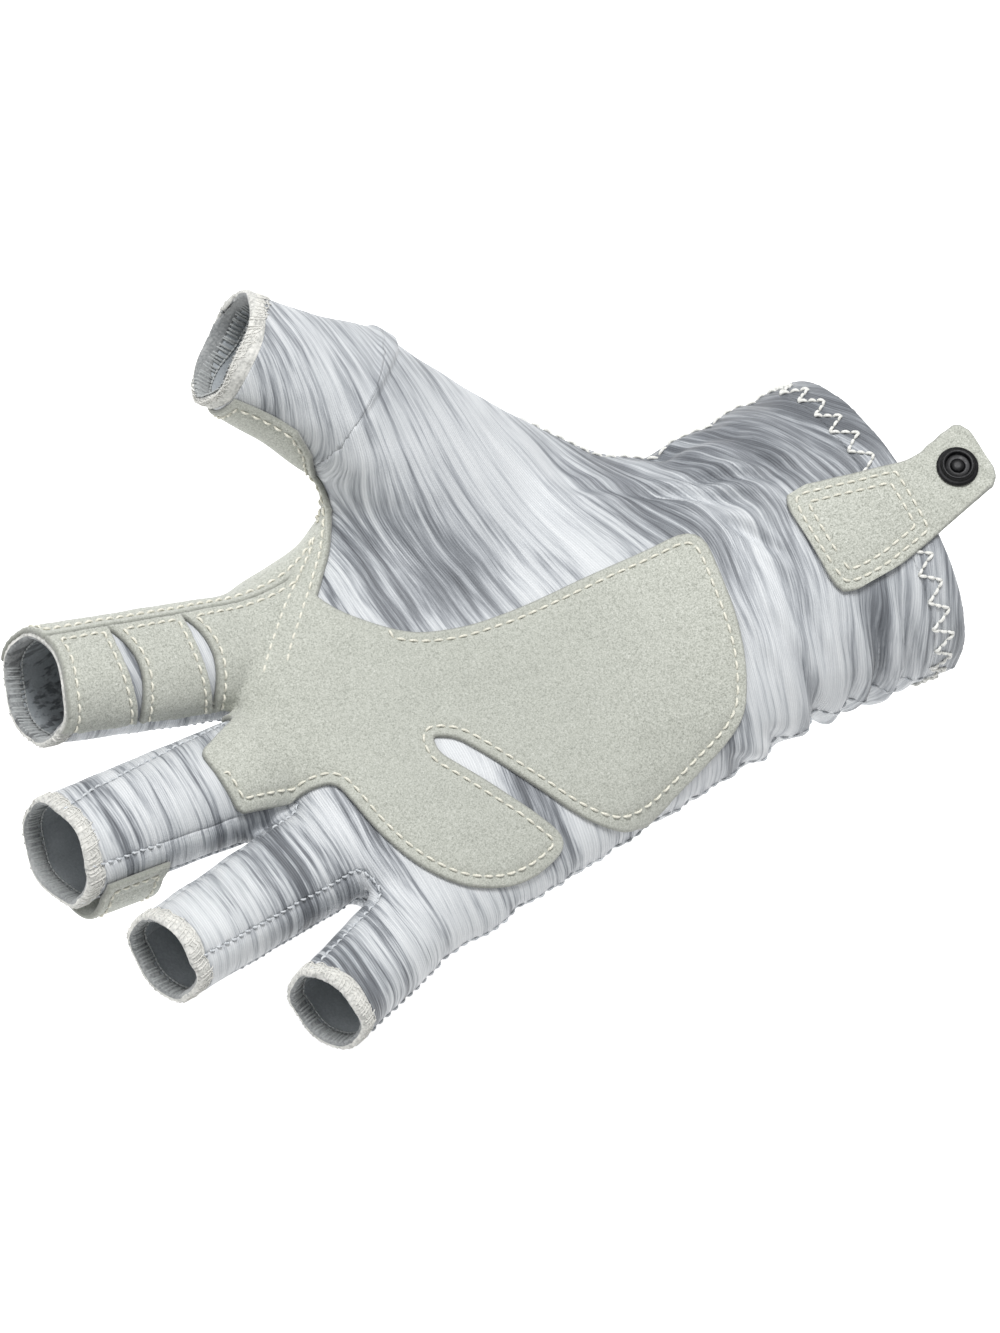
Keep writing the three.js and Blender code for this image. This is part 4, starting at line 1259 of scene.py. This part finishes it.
tab_rows = [tab_box(tab_part) - inset for inset in TAB_ROW_INSETS]
sewn("palm_patch", lines_on(palm_part, palm_part.rows), PATCH_STITCH)
sewn("side_patch", lines_on(side_part, side_part.rows), PATCH_STITCH)
sewn("wrist_tab", lines_on(tab_part, *tab_rows), TAB_STITCH)
sewn("pull_loop", lines_on(loop_part, loop_part.rows), LOOP_STITCH)

# Seams of the cloth, on the skin
skin_part = Patch(skin, skin_faces[labels < NONE], skin_normals)


def skin_lines(value_of, where, least):
    """Lines on the skin where value_of passes zero and where() holds."""
    centres = skin_part.points[skin_part.faces].mean(axis=1)
    faces = skin_part.faces[where(centres)]
    values = value_of(skin_part.points)
    return long_enough(contours(skin_part.points, skin_part.normals, faces, values), least)


def clear_of_suede(points):
    return (palm_patch_value(points) < -0.5) & (side_patch_value(points) < -0.5)


def strip_lines(row):
    return skin_lines(
        lambda p: fourchette_value(p, *row[1:]),
        lambda c: clear_of_suede(c) & (np.abs(fourchette_value(c, *row[1:])) < 3),
        LEAST_SEAM,
    )


sewn("finger_strips", [line for row in FOURCHETTES for line in strip_lines(row)], STRIP_STITCH)


def off_strips(points):
    return np.max([fourchette_value(points, *row[1:]) for row in FOURCHETTES], axis=0) < 0.3


side_lines = skin_lines(
    lambda p: p[:, 2] - seam_height(p),
    lambda c: clear_of_suede(c) & off_strips(c) & (c[:, 0] < -0.5),
    LEAST_SIDE_SEAM,
)
sewn("thumb_side_seam", [line for line in side_lines if line[0][:, 1].mean() > 0], THUMB_SIDE_STITCH)
sewn("little_side_seam", [line for line in side_lines if line[0][:, 1].mean() <= 0], LITTLE_SIDE_STITCH)


def laid_on_skin(points, lift):
    """Points brought down to the skin, and the way it faces there."""
    found = [skin_tree.find_nearest(Vector(point)) for point in points.tolist()]
    place = np.array([tuple(hit[0]) for hit in found])
    number = [hit[2] for hit in found]
    normals = unit(skin_normals[skin_faces[labels < NONE][number]].mean(axis=1))
    return place + normals * lift, normals


CUFF_ZIGZAG = 6.3
CUFF_SWING = 4.6
CUFF_LINE = 5.6
CUFF_THREAD = 0.37
CUFF_THREAD_LIFT = 0.36
CUFF_THREAD_ARCH = 0.3


def cuff_zigzag():
    """A three-step zigzag that holds the cuff's turned hem."""
    around = np.linspace(0, 2 * np.pi, 2400)
    run = run_along(hand_points(np.full(len(around), CUFF_LINE / HAND_LENGTH), around))
    count = int(round(run[-1] / CUFF_ZIGZAG))
    corners = []
    for turn in range(count):
        for step in range(6):
            climb = step / 3 if step < 3 else 2 - step / 3
            along = (turn + step / 6 + 0.03 * math.sin(turn * 5)) * run[-1] / count
            corners.append((along, climb - 0.5, 0.25 * math.sin(turn * 2.3 + step)))
    corners = np.array(corners)
    angle = np.interp(corners[:, 0], run, around)
    place = (CUFF_LINE + CUFF_SWING * corners[:, 1] + corners[:, 2]) / HAND_LENGTH
    spots = hand_points(place, angle)
    following = np.roll(spots, -1, axis=0)
    share = np.linspace(0.04, 0.96, len(STITCH_TAPER))[None, :, None]
    path = spots[:, None] * (1 - share) + following[:, None] * share
    flat, normals = laid_on_skin(path.reshape(-1, 3), CUFF_THREAD_LIFT)
    path, normals = flat.reshape(path.shape), normals.reshape(path.shape)
    path = path + normals * (CUFF_THREAD_ARCH * STITCH_ARCH)[None, :, None]
    return strands(path, normals, CUFF_THREAD * STITCH_TAPER)


keep(mesh_object("stitches_cuff_zigzag", *cuff_zigzag()))

OVERLOCK_PITCH = 1.1
# One loop of it: millimetres from the cloth's end and out of the cloth, thread radius,
# and pitches along the edge
OVERLOCK_LOOP = (
    (3.5, 0.2, 0.1, 0.7), (2.8, 0.3, 0.14, 0.45), (1.7, 0.32, 0.15, 0.1), (0.5, 0.26, 0.2, -0.1),
    (0.0, -0.4, 0.3, -0.15), (0.5, -1.25, 0.27, -0.1), (1.7, -1.36, 0.28, 0.05), (3.0, -1.36, 0.28, 0.2),
    (3.8, -1.3, 0.2, 0.3),
)
# The threads that lie along the edge: millimetres from the end, out of the cloth, and thread radius
OVERLOCK_RUNS = ((3.1, 0.34, 0.13), (2.2, 0.34, 0.1), (1.2, 0.34, 0.1), (3.9, -1.55, 0.22))


def rim_spots(tube, from_end, out, angle):
    """Points by the cloth's edge, so far from its end and out of its surface, and the way it faces."""
    near_end = tube.points(np.full(len(angle), tube.end), angle)
    found = tube.locate(near_end)[1]
    ripple = EDGE_RIPPLE * (np.sin(3 * found + tube.end) + np.sin(5 * found))
    place, normals = laid_on_skin(tube.points(tube.end - ripple - np.maximum(from_end, 0.5), angle), 0)
    axis = tube.section(np.full(len(angle), tube.end))[1]
    past_end = np.maximum(0.5 - from_end, 0) * np.ones(len(angle))
    return place + normals * np.reshape(out, (-1, 1)) + axis * past_end[:, None], normals


def overlock(tube):
    """Thread wound over a cut edge, from the inside of the cloth to the outside."""
    around = np.linspace(0, 2 * np.pi, 720)
    run = run_along(tube.points(np.full(len(around), tube.end - 1.0), around))
    count = int(run[-1] / OVERLOCK_PITCH)
    turn = np.arange(count)
    uneven = 0.22 * np.sin(turn * 2.7) + 0.16 * np.sin(turn * 1.3 + 1)
    middle = np.interp((turn + 0.5 + uneven) * run[-1] / count, run, around)
    reach = 0.35 * np.sin(turn * 1.9) + 0.25 * np.sin(turn * 0.63)
    paths, outward = [], []
    for from_end, out, _, along in OVERLOCK_LOOP:
        angle = middle + along * 2 * np.pi / count
        spots, normals = rim_spots(tube, from_end + reach * (from_end > 2) * (out > 0), out, angle)
        paths.append(spots)
        outward.append(normals)
    paths, outward = np.stack(paths, axis=1), np.stack(outward, axis=1)
    bare = clear_of_suede(paths[:, 1]) if tube is index else np.ones(count, dtype=bool)
    made = [strands(paths[bare], outward[bare], np.array(OVERLOCK_LOOP)[:, 2])]
    for from_end, out, radius in OVERLOCK_RUNS:
        steps = np.linspace(0.05, 0.95, len(STITCH_TAPER))
        angle = np.interp(((turn[:, None] + steps[None]) * run[-1] / count) % run[-1], run, around).ravel()
        swing = 0.3 * np.sin(np.repeat(turn, len(steps)) * 2.1 + np.tile(steps, count) * 3) * (out > 0)
        spots, normals = rim_spots(tube, from_end + swing, out, angle)
        spots, normals = spots.reshape(count, -1, 3), normals.reshape(count, -1, 3)
        shown = bare | (out < 0)
        made.append(strands(spots[shown], normals[shown], radius * STITCH_TAPER))
    return joined(made)


for tube in tubes:
    points, faces = overlock(tube)
    made = keep(mesh_object(f"{tube.name}_overlock_thread", points, faces))
    store(made, "out", tube.locate(points)[2])


# Finishes, with places and lengths in metres
class Value:
    """A shader socket or number that takes part in sums."""

    def __init__(self, tree, socket):
        self.tree, self.socket = tree, socket

    def with_(self, operation, other, swapped=False):
        values = {0: other, 1: self} if swapped else {0: self, 1: other}
        return self.tree.add("ShaderNodeMath", values, operation=operation)

    def __add__(self, other):
        return self.with_("ADD", other)

    __radd__ = __add__

    def __sub__(self, other):
        return self.with_("SUBTRACT", other)

    def __rsub__(self, other):
        return self.with_("SUBTRACT", other, swapped=True)

    def __mul__(self, other):
        return self.with_("MULTIPLY", other)

    __rmul__ = __mul__


class Finish:
    """A material and the nodes that make it."""

    def __init__(self, name):
        self.material = bpy.data.materials.new(name)
        self.material.use_nodes = True
        self.nodes = self.material.node_tree.nodes
        self.links = self.material.node_tree.links
        self.shader = self.nodes["Principled BSDF"]

    def add(self, kind, values=None, output=0, **settings):
        """One node, its settings first and then its sockets' values or links."""
        node = self.nodes.new(kind)
        stops = settings.pop("stops", None)
        for key, value in settings.items():
            setattr(node, key, value)
        if stops:
            ramp = node.color_ramp
            while len(ramp.elements) < len(stops):
                ramp.elements.new(0.5)
            for element, (place, colour) in zip(ramp.elements, stops):
                element.position = place
                element.color = (*colour, 1)
        for key, value in (values or {}).items():
            self.feed(node.inputs[key], value)
        return Value(self, node.outputs[output])

    def feed(self, socket, value):
        if isinstance(value, Value):
            self.links.new(value.socket, socket)
        elif isinstance(value, tuple) and len(value) == 3 and socket.type == "RGBA":
            socket.default_value = (*value, 1)
        else:
            socket.default_value = value

    def place(self):
        return self.add("ShaderNodeTexCoord", output="Object")

    def parts(self, vector):
        return [self.add("ShaderNodeSeparateXYZ", {0: vector}, output=axis) for axis in range(3)]

    def vector(self, x, y, z):
        return self.add("ShaderNodeCombineXYZ", {0: x, 1: y, 2: z})

    def distance(self, vector, spot):
        values = {0: vector, 1: spot}
        return self.add("ShaderNodeVectorMath", values, output="Value", operation="DISTANCE")

    def noise(self, vector, scale, detail=2.0, roughness=0.5):
        values = {"Vector": vector, "Scale": scale, "Detail": detail, "Roughness": roughness}
        return self.add("ShaderNodeTexNoise", values, output="Fac")

    def ramp(self, value, stops):
        return self.add("ShaderNodeValToRGB", {"Fac": value}, output="Color", stops=stops)

    def shift(self, value, low, high, to_low=0.0, to_high=1.0):
        values = {"Value": value, "From Min": low, "From Max": high, "To Min": to_low, "To Max": to_high}
        return self.add("ShaderNodeMapRange", values, output="Result", clamp=True)

    def mixed(self, share, first, second):
        """One colour towards another; a Mix node has its colours in sockets 6 and 7, and gives them in 2."""
        return self.add("ShaderNodeMix", {0: share, 6: first, 7: second}, output=2, data_type="RGBA")

    def attribute(self, name):
        return self.add("ShaderNodeAttribute", output="Fac", attribute_name=name)

    def bump(self, height, distance, strength):
        values = {"Height": height, "Distance": distance * MM, "Strength": strength}
        return self.add("ShaderNodeBump", values, output="Normal")

    def finish(self, colour, roughness, normal=None):
        self.feed(self.shader.inputs["Base Color"], colour)
        self.feed(self.shader.inputs["Roughness"], roughness)
        if normal is not None:
            self.feed(self.shader.inputs["Normal"], normal)
        return self.material


def set_constant(material, **sockets):
    shader = material.node_tree.nodes["Principled BSDF"]
    for key, value in sockets.items():
        shader.inputs[key.replace("_", " ")].default_value = value
    return material


# The print: how far the streaks drift, and how much they lean towards the thumb and the little finger
PRINT_DRIFT = 0.013
PRINT_BEND = 0.00002
PRINT_DARKEST, PRINT_LIGHTEST = 0.44, 0.76
PRINT_TONES = [
    (0.0, (0.085, 0.092, 0.104)),
    (0.2, (0.190, 0.203, 0.222)),
    (0.36, (0.385, 0.405, 0.430)),
    (0.52, (0.590, 0.612, 0.632)),
    (0.8, (0.715, 0.734, 0.748)),
]
BETWEEN_LOOPS = (0.27, 0.29, 0.32)


def knit_printed():
    """Stretch knit with a streaked print that runs across the hand."""
    f = Finish("printed knit")
    place = f.place()
    x, y, z = f.parts(place)
    drift = (f.noise(place, 18, 2) - 0.5) * PRINT_DRIFT
    spread = (y * y + PRINT_BEND).with_("POWER", 0.5)
    thumbward = (spread + y) * 0.5
    littleward = (spread - y) * 0.5
    lean = thumbward * f.shift(x, -0.12, -0.015, 0.03, 0.46)
    lean = lean + littleward * f.shift(x, -0.08, -0.02, 0.0, 0.27)
    across = x + lean + drift

    def streaks(fineness, length, detail, roughness, offset):
        spot = f.vector(across * fineness + offset, y * length, z * length)
        return f.noise(spot, 1.0, detail, roughness)

    bands = streaks(140, 12, 4.0, 0.68, 6.4)
    lines = streaks(1050, 40, 4.0, 0.7, 29.3)
    cuff = f.shift(x, -0.066, -0.04)

    def near(spot, inner, outer):
        return f.shift(f.distance(place, spot), outer, inner)

    # Where painted shade darkens the cloth under the thumb's web
    web = near((-0.1, 0.028, 0.016), 0.01, 0.026)
    thumb_ball = near((-0.086, 0.035, 0.026), 0.008, 0.026)
    on_fingers = f.shift(x, -0.112, -0.128)
    tone = bands * 0.72 + lines * 0.6 - 0.05
    ball = f.shift(y, -0.004, 0.02) * f.shift(x, -0.118, -0.095) * (1 - cuff)
    tone = tone + (0.6 - tone) * (cuff * 0.3 + ball * 0.42)
    # The cuff made darker, most on its thumb side: partly a darker print, partly painted shade. The
    # darkening under the thumb's web is painted shade.
    tone = tone - cuff * f.shift(y, -0.025, 0.015, 0.045, 0.115) - web * 0.12 + thumb_ball * 0.065
    tone = tone - on_fingers * 0.028 - ball * 0.036 - 0.006
    print_colour = f.ramp(f.shift(tone + 0.02, PRINT_DARKEST, PRINT_LIGHTEST), PRINT_TONES)
    wales = f.add("ShaderNodeTexWave", {
        "Vector": f.vector(across, y * 0.3, z * 0.3),
        "Scale": 620, "Distortion": 0.5, "Detail": 1.0, "Detail Scale": 2.0,
    }, output="Fac", wave_type="BANDS", bands_direction="X")
    loops = f.noise(place, 2400, 1.0)
    colour = f.mixed(wales * 0.2 + loops * 0.1, print_colour, BETWEEN_LOOPS)
    height = wales * 0.7 + loops * 0.5 + bands * 0.6
    f.finish(colour, 0.5, f.bump(height, 0.14, 0.6))
    return set_constant(f.material, Sheen_Weight=0.15, Sheen_Roughness=0.4, Specular_IOR_Level=0.45)


PRINT_SHOWN_THROUGH = (0.03, 0.032, 0.036)


def knit_inside(name, colour_low, colour_high):
    """The plain side of the knit; the print shows through it, dark, inside the index's end."""
    f = Finish(name)
    place = f.place()
    x, y, z = f.parts(place)
    grain = f.noise(place, 1900, 2.0)
    cloud = f.noise(place, 90, 2.0)
    colour = f.mixed(f.shift(cloud * 0.6 + grain * 0.4, 0.35, 0.65), colour_low, colour_high)
    marks = f.noise(f.vector(x * 130, y * 520, z * 520), 1.0, 3.0, 0.6)
    in_index = f.shift(x, -0.122, -0.134) * f.shift(y, 0.012, 0.02) * f.shift(z, 0.05, 0.0)
    colour = f.mixed(f.shift(marks, 0.5, 0.6) * in_index * 0.8, colour, PRINT_SHOWN_THROUGH)
    f.finish(colour, 0.85, f.bump(grain, 0.15, 0.5))
    return set_constant(f.material, Sheen_Weight=0.2, Specular_IOR_Level=0.25)


SUEDE_TONES = [
    (0.0, (0.290, 0.300, 0.262)),
    (0.35, (0.452, 0.466, 0.415)),
    (0.65, (0.540, 0.554, 0.500)),
    (1.0, (0.680, 0.690, 0.640)),
]
# Painted shade on the suede in the middle of the palm: its colour, and the spot it centres on
SUEDE_PAINTED_SHADE = (0.33, 0.345, 0.31)
SUEDE_PAINTED_SHADE_AT = (-0.104, -0.008, 0.018)
SUEDE_WORN = (0.40, 0.405, 0.36)
# The cut edges' darker colour, partly their own and partly painted shade
SUEDE_CUT_EDGE_AND_SHADE = (0.16, 0.165, 0.145)


def suede():
    """Napped suede: speckled, with painted shade in the middle of the palm, darker at its cut edges, partly
    their own colour and partly painted shade, and darker where it is sewn down.
    """
    f = Finish("napped suede")
    place = f.place()
    nap = f.noise(place, 2900, 2.0, 0.7)
    clumps = f.noise(place, 1500, 2.0, 0.6)
    cloud = f.noise(place, 45, 2.0)
    brushed = f.noise(place, 300, 2.0)
    tone = nap * 0.66 + clumps * 0.26 + cloud * 0.06 + brushed * 0.03
    base = f.ramp(f.shift(tone, 0.38, 0.68), SUEDE_TONES)
    # Painted shade, darker towards the middle of the palm
    painted_shade = f.shift(f.distance(place, SUEDE_PAINTED_SHADE_AT), 0.062, 0.02)
    base = f.mixed(painted_shade * 0.3, base, SUEDE_PAINTED_SHADE)
    edge = f.attribute("edge")
    # The cut edges made darker: partly their own colour, partly painted shade
    cut = 1 - f.shift(edge, 0.02, 0.55)
    worn = 1 - f.shift(edge, 0.3, 3.2)
    colour = f.mixed(worn * 0.14, base, SUEDE_WORN)
    colour = f.mixed(cut * 0.62, colour, SUEDE_CUT_EDGE_AND_SHADE)
    height = nap * 0.6 + clumps * 0.6
    f.finish(colour, 0.95, f.bump(height, 0.28, 0.7))
    return set_constant(f.material, Sheen_Weight=0.35, Sheen_Roughness=0.6, Specular_IOR_Level=0.12)


THREAD_FIBRE = 2600


def thread(name, low, high):
    f = Finish(name)
    fibre = f.noise(f.place(), THREAD_FIBRE, 2.0)
    colour = f.mixed(f.shift(fibre, 0.3, 0.7), low, high)
    f.finish(colour, 0.7, f.bump(fibre, 0.08, 0.6))
    return set_constant(f.material, Sheen_Weight=0.3)


def overlock_thread():
    """Cream thread, with painted shade that makes it grey on the inside of the edge."""
    f = Finish("overlock thread")
    fibre = f.noise(f.place(), THREAD_FIBRE, 2.0)
    cream = f.mixed(fibre, (0.52, 0.52, 0.49), (0.82, 0.81, 0.77))
    # Painted shade: the same cream thread made grey where it lies inside the edge
    grey = f.mixed(fibre, (0.22, 0.235, 0.235), (0.50, 0.52, 0.52))
    colour = f.mixed(f.shift(f.attribute("out"), -0.8, -0.2), grey, cream)
    f.finish(colour, 0.75, f.bump(fibre, 0.08, 0.6))
    return set_constant(f.material, Sheen_Weight=0.3)


def edge_knit():
    """The overlocked edges: pale thread laid close over the cloth."""
    f = Finish("overlocked edge")
    place = f.place()
    fibre = f.noise(place, 1500, 3.0)
    blotch = f.noise(place, 320, 2.0)
    colour = f.ramp(f.shift(fibre * 0.6 + blotch * 0.4, 0.36, 0.66), [
        (0.0, (0.42, 0.42, 0.40)), (0.45, (0.62, 0.62, 0.59)), (1.0, (0.80, 0.79, 0.75)),
    ])
    f.finish(colour, 0.85, f.bump(fibre, 0.2, 0.6))
    return set_constant(f.material, Sheen_Weight=0.25, Specular_IOR_Level=0.25)


def black_metal():
    f = Finish("black lacquered metal")
    scuffs = f.noise(f.place(), 900, 3.0)
    colour = f.mixed(f.shift(scuffs, 0.55, 0.75), (0.006, 0.006, 0.007), (0.022, 0.022, 0.024))
    f.finish(colour, f.shift(scuffs, 0.3, 0.7, 0.34, 0.5), f.bump(scuffs, 0.02, 0.3))
    return set_constant(f.material, Metallic=0.35, Specular_IOR_Level=0.35)


white_thread = thread("white thread", (0.66, 0.66, 0.62), (0.88, 0.88, 0.85))
cream_thread = thread("cream thread", (0.60, 0.59, 0.50), (0.86, 0.84, 0.74))
grey_thread = thread("pale grey thread", (0.40, 0.43, 0.46), (0.72, 0.74, 0.76))
cloth_finishes = (
    knit_printed(),
    knit_inside("plain knit inside", (0.30, 0.325, 0.345), (0.43, 0.46, 0.48)),
)
edge_finishes = (
    edge_knit(),
    # Painted shade: the inside of the overlocked edge made darker than the plain inside
    knit_inside("overlocked edge inside", (0.16, 0.17, 0.175), (0.42, 0.43, 0.43)),
)
# The finish of a piece whose name has these words in it, the first that fits
FINISHES = {
    "suede": suede(),
    "snap": black_metal(),
    "overlock_thread": overlock_thread(),
    "finger_strips": grey_thread,
    "little_side_seam": grey_thread,
    "cuff_zigzag": white_thread,
    "thumb_side_seam": white_thread,
    "stitches": cream_thread,
}

for name, made in pieces.items():
    finishes = made.data.materials
    if len(finishes) == 2:
        finishes[0], finishes[1] = edge_finishes if name.endswith("_edge") else cloth_finishes
    else:
        finishes.append(next(finish for words, finish in FINISHES.items() if words in name))
for name, made in pieces.items():
    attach(made, "root")
    if nodes_of[name]:
        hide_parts(*nodes_of[name])

# Cloth and suede, in metres: the piece, the size and area that it is cut to, what it rests on, and what
# is sewn to it
SHEETS = [
    ("knit_palm", (0.135, 0.19), 0.0197, ["knit_back"], []),
    ("knit_back", (0.125, 0.195), 0.0200, ["knit_palm"],
     [*(f"{tube.name}_edge" for tube in fingers), "cuff_turned_hem"]),
    ("knit_thumb_sleeve", (0.034, 0.072), None, ["knit_back"], ["thumb_edge"]),
    ("knit_fourchette_index_middle", (0.0105, 0.104), None, ["knit_palm", "knit_back"], []),
    ("knit_fourchette_middle_ring", (0.0105, 0.092), None, ["knit_palm", "knit_back"], []),
    ("knit_fourchette_ring_little", (0.0105, 0.084), None, ["knit_palm", "knit_back"], []),
    ("suede_palm_patch", (0.085, 0.145), 0.0071, ["knit_palm"], ["stitches_palm_patch"]),
    ("suede_side_patch", (0.05, 0.1), 0.00275, ["knit_palm"], ["stitches_side_patch"]),
    ("suede_wrist_tab", (0.026, 0.0445), 0.00094, ["knit_palm"], ["stitches_wrist_tab"]),
    ("suede_pull_loop", (0.0155, 0.039), None, ["knit_back"], ["stitches_pull_loop"]),
]
for name, flat, area, under, sewn_on in SHEETS:
    measured = {} if area is None else {"area": area}
    if sewn_on:
        measured["with_pieces"] = [pieces[other] for other in sewn_on]

# Floor, light and camera, in metres but for the camera's lens and sensor
FLOOR_SIZE = 8
FLOOR_DROP = 0.11
FLOOR_GLOW = 0.55
PALE = (0.93, 0.93, 0.93)
WHITE = (1, 1, 1, 1)
STUDIO_LIGHT = 0.47
bpy.ops.object.select_all(action="DESELECT")
bpy.ops.mesh.primitive_plane_add(size=FLOOR_SIZE, location=(0, 0, cad_box[0][2] - FLOOR_DROP))
floor = bpy.context.object
floor.name = "floor"
pale = Finish("pale floor")
pale.finish(PALE, 0.9)
set_constant(pale.material, Emission_Color=WHITE, Emission_Strength=FLOOR_GLOW)
floor.data.materials.append(pale.material)

scene = bpy.context.scene
world = bpy.data.worlds.new("studio")
world.use_nodes = True
world.node_tree.nodes["Background"].inputs["Color"].default_value = WHITE
world.node_tree.nodes["Background"].inputs["Strength"].default_value = STUDIO_LIGHT
scene.world = world
scene.view_settings.view_transform = "Standard"

# Where the photograph is taken from, and how far it is from there to the glove
eye = Vector((-452.4, -311.3, 904.7)) * MM
EYE_DISTANCE = 1.055
CAMERA_LENS = 129.63
SENSOR_WIDTH = 36
right = Vector((0.844, -0.511, 0.161)).normalized()
back = right.cross(Vector((0.402, 0.802, 0.441))).normalized()
up = back.cross(right)
target = eye - back * EYE_DISTANCE


def lamp(name, toward, distance, size, power):
    data = bpy.data.lights.new(name, "AREA")
    data.size = size
    data.energy = power
    made = bpy.data.objects.new(name, data)
    scene.collection.objects.link(made)
    direction = (right * toward[0] + up * toward[1] + back * toward[2]).normalized()
    made.location = target + direction * distance
    made.rotation_mode = "QUATERNION"
    made.rotation_quaternion = direction.to_track_quat("Z", "Y")
    return made


lamp("key", (0.1, 0.62, 0.75), 1.2, 0.4, 12.0)
lamp("fill", (-0.7, 0.0, 0.8), 1.4, 0.9, 2.5)

camera_data = bpy.data.cameras.new("camera")
camera_data.lens = CAMERA_LENS
camera_data.sensor_width = SENSOR_WIDTH
camera_data.clip_start = 0.05
camera = bpy.data.objects.new("camera", camera_data)
scene.collection.objects.link(camera)
camera.matrix_world = Matrix((
    (right.x, up.x, back.x, eye.x),
    (right.y, up.y, back.y, eye.y),
    (right.z, up.z, back.z, eye.z),
    (0, 0, 0, 1),
))
scene.camera = camera

bpy.context.view_layer.update()
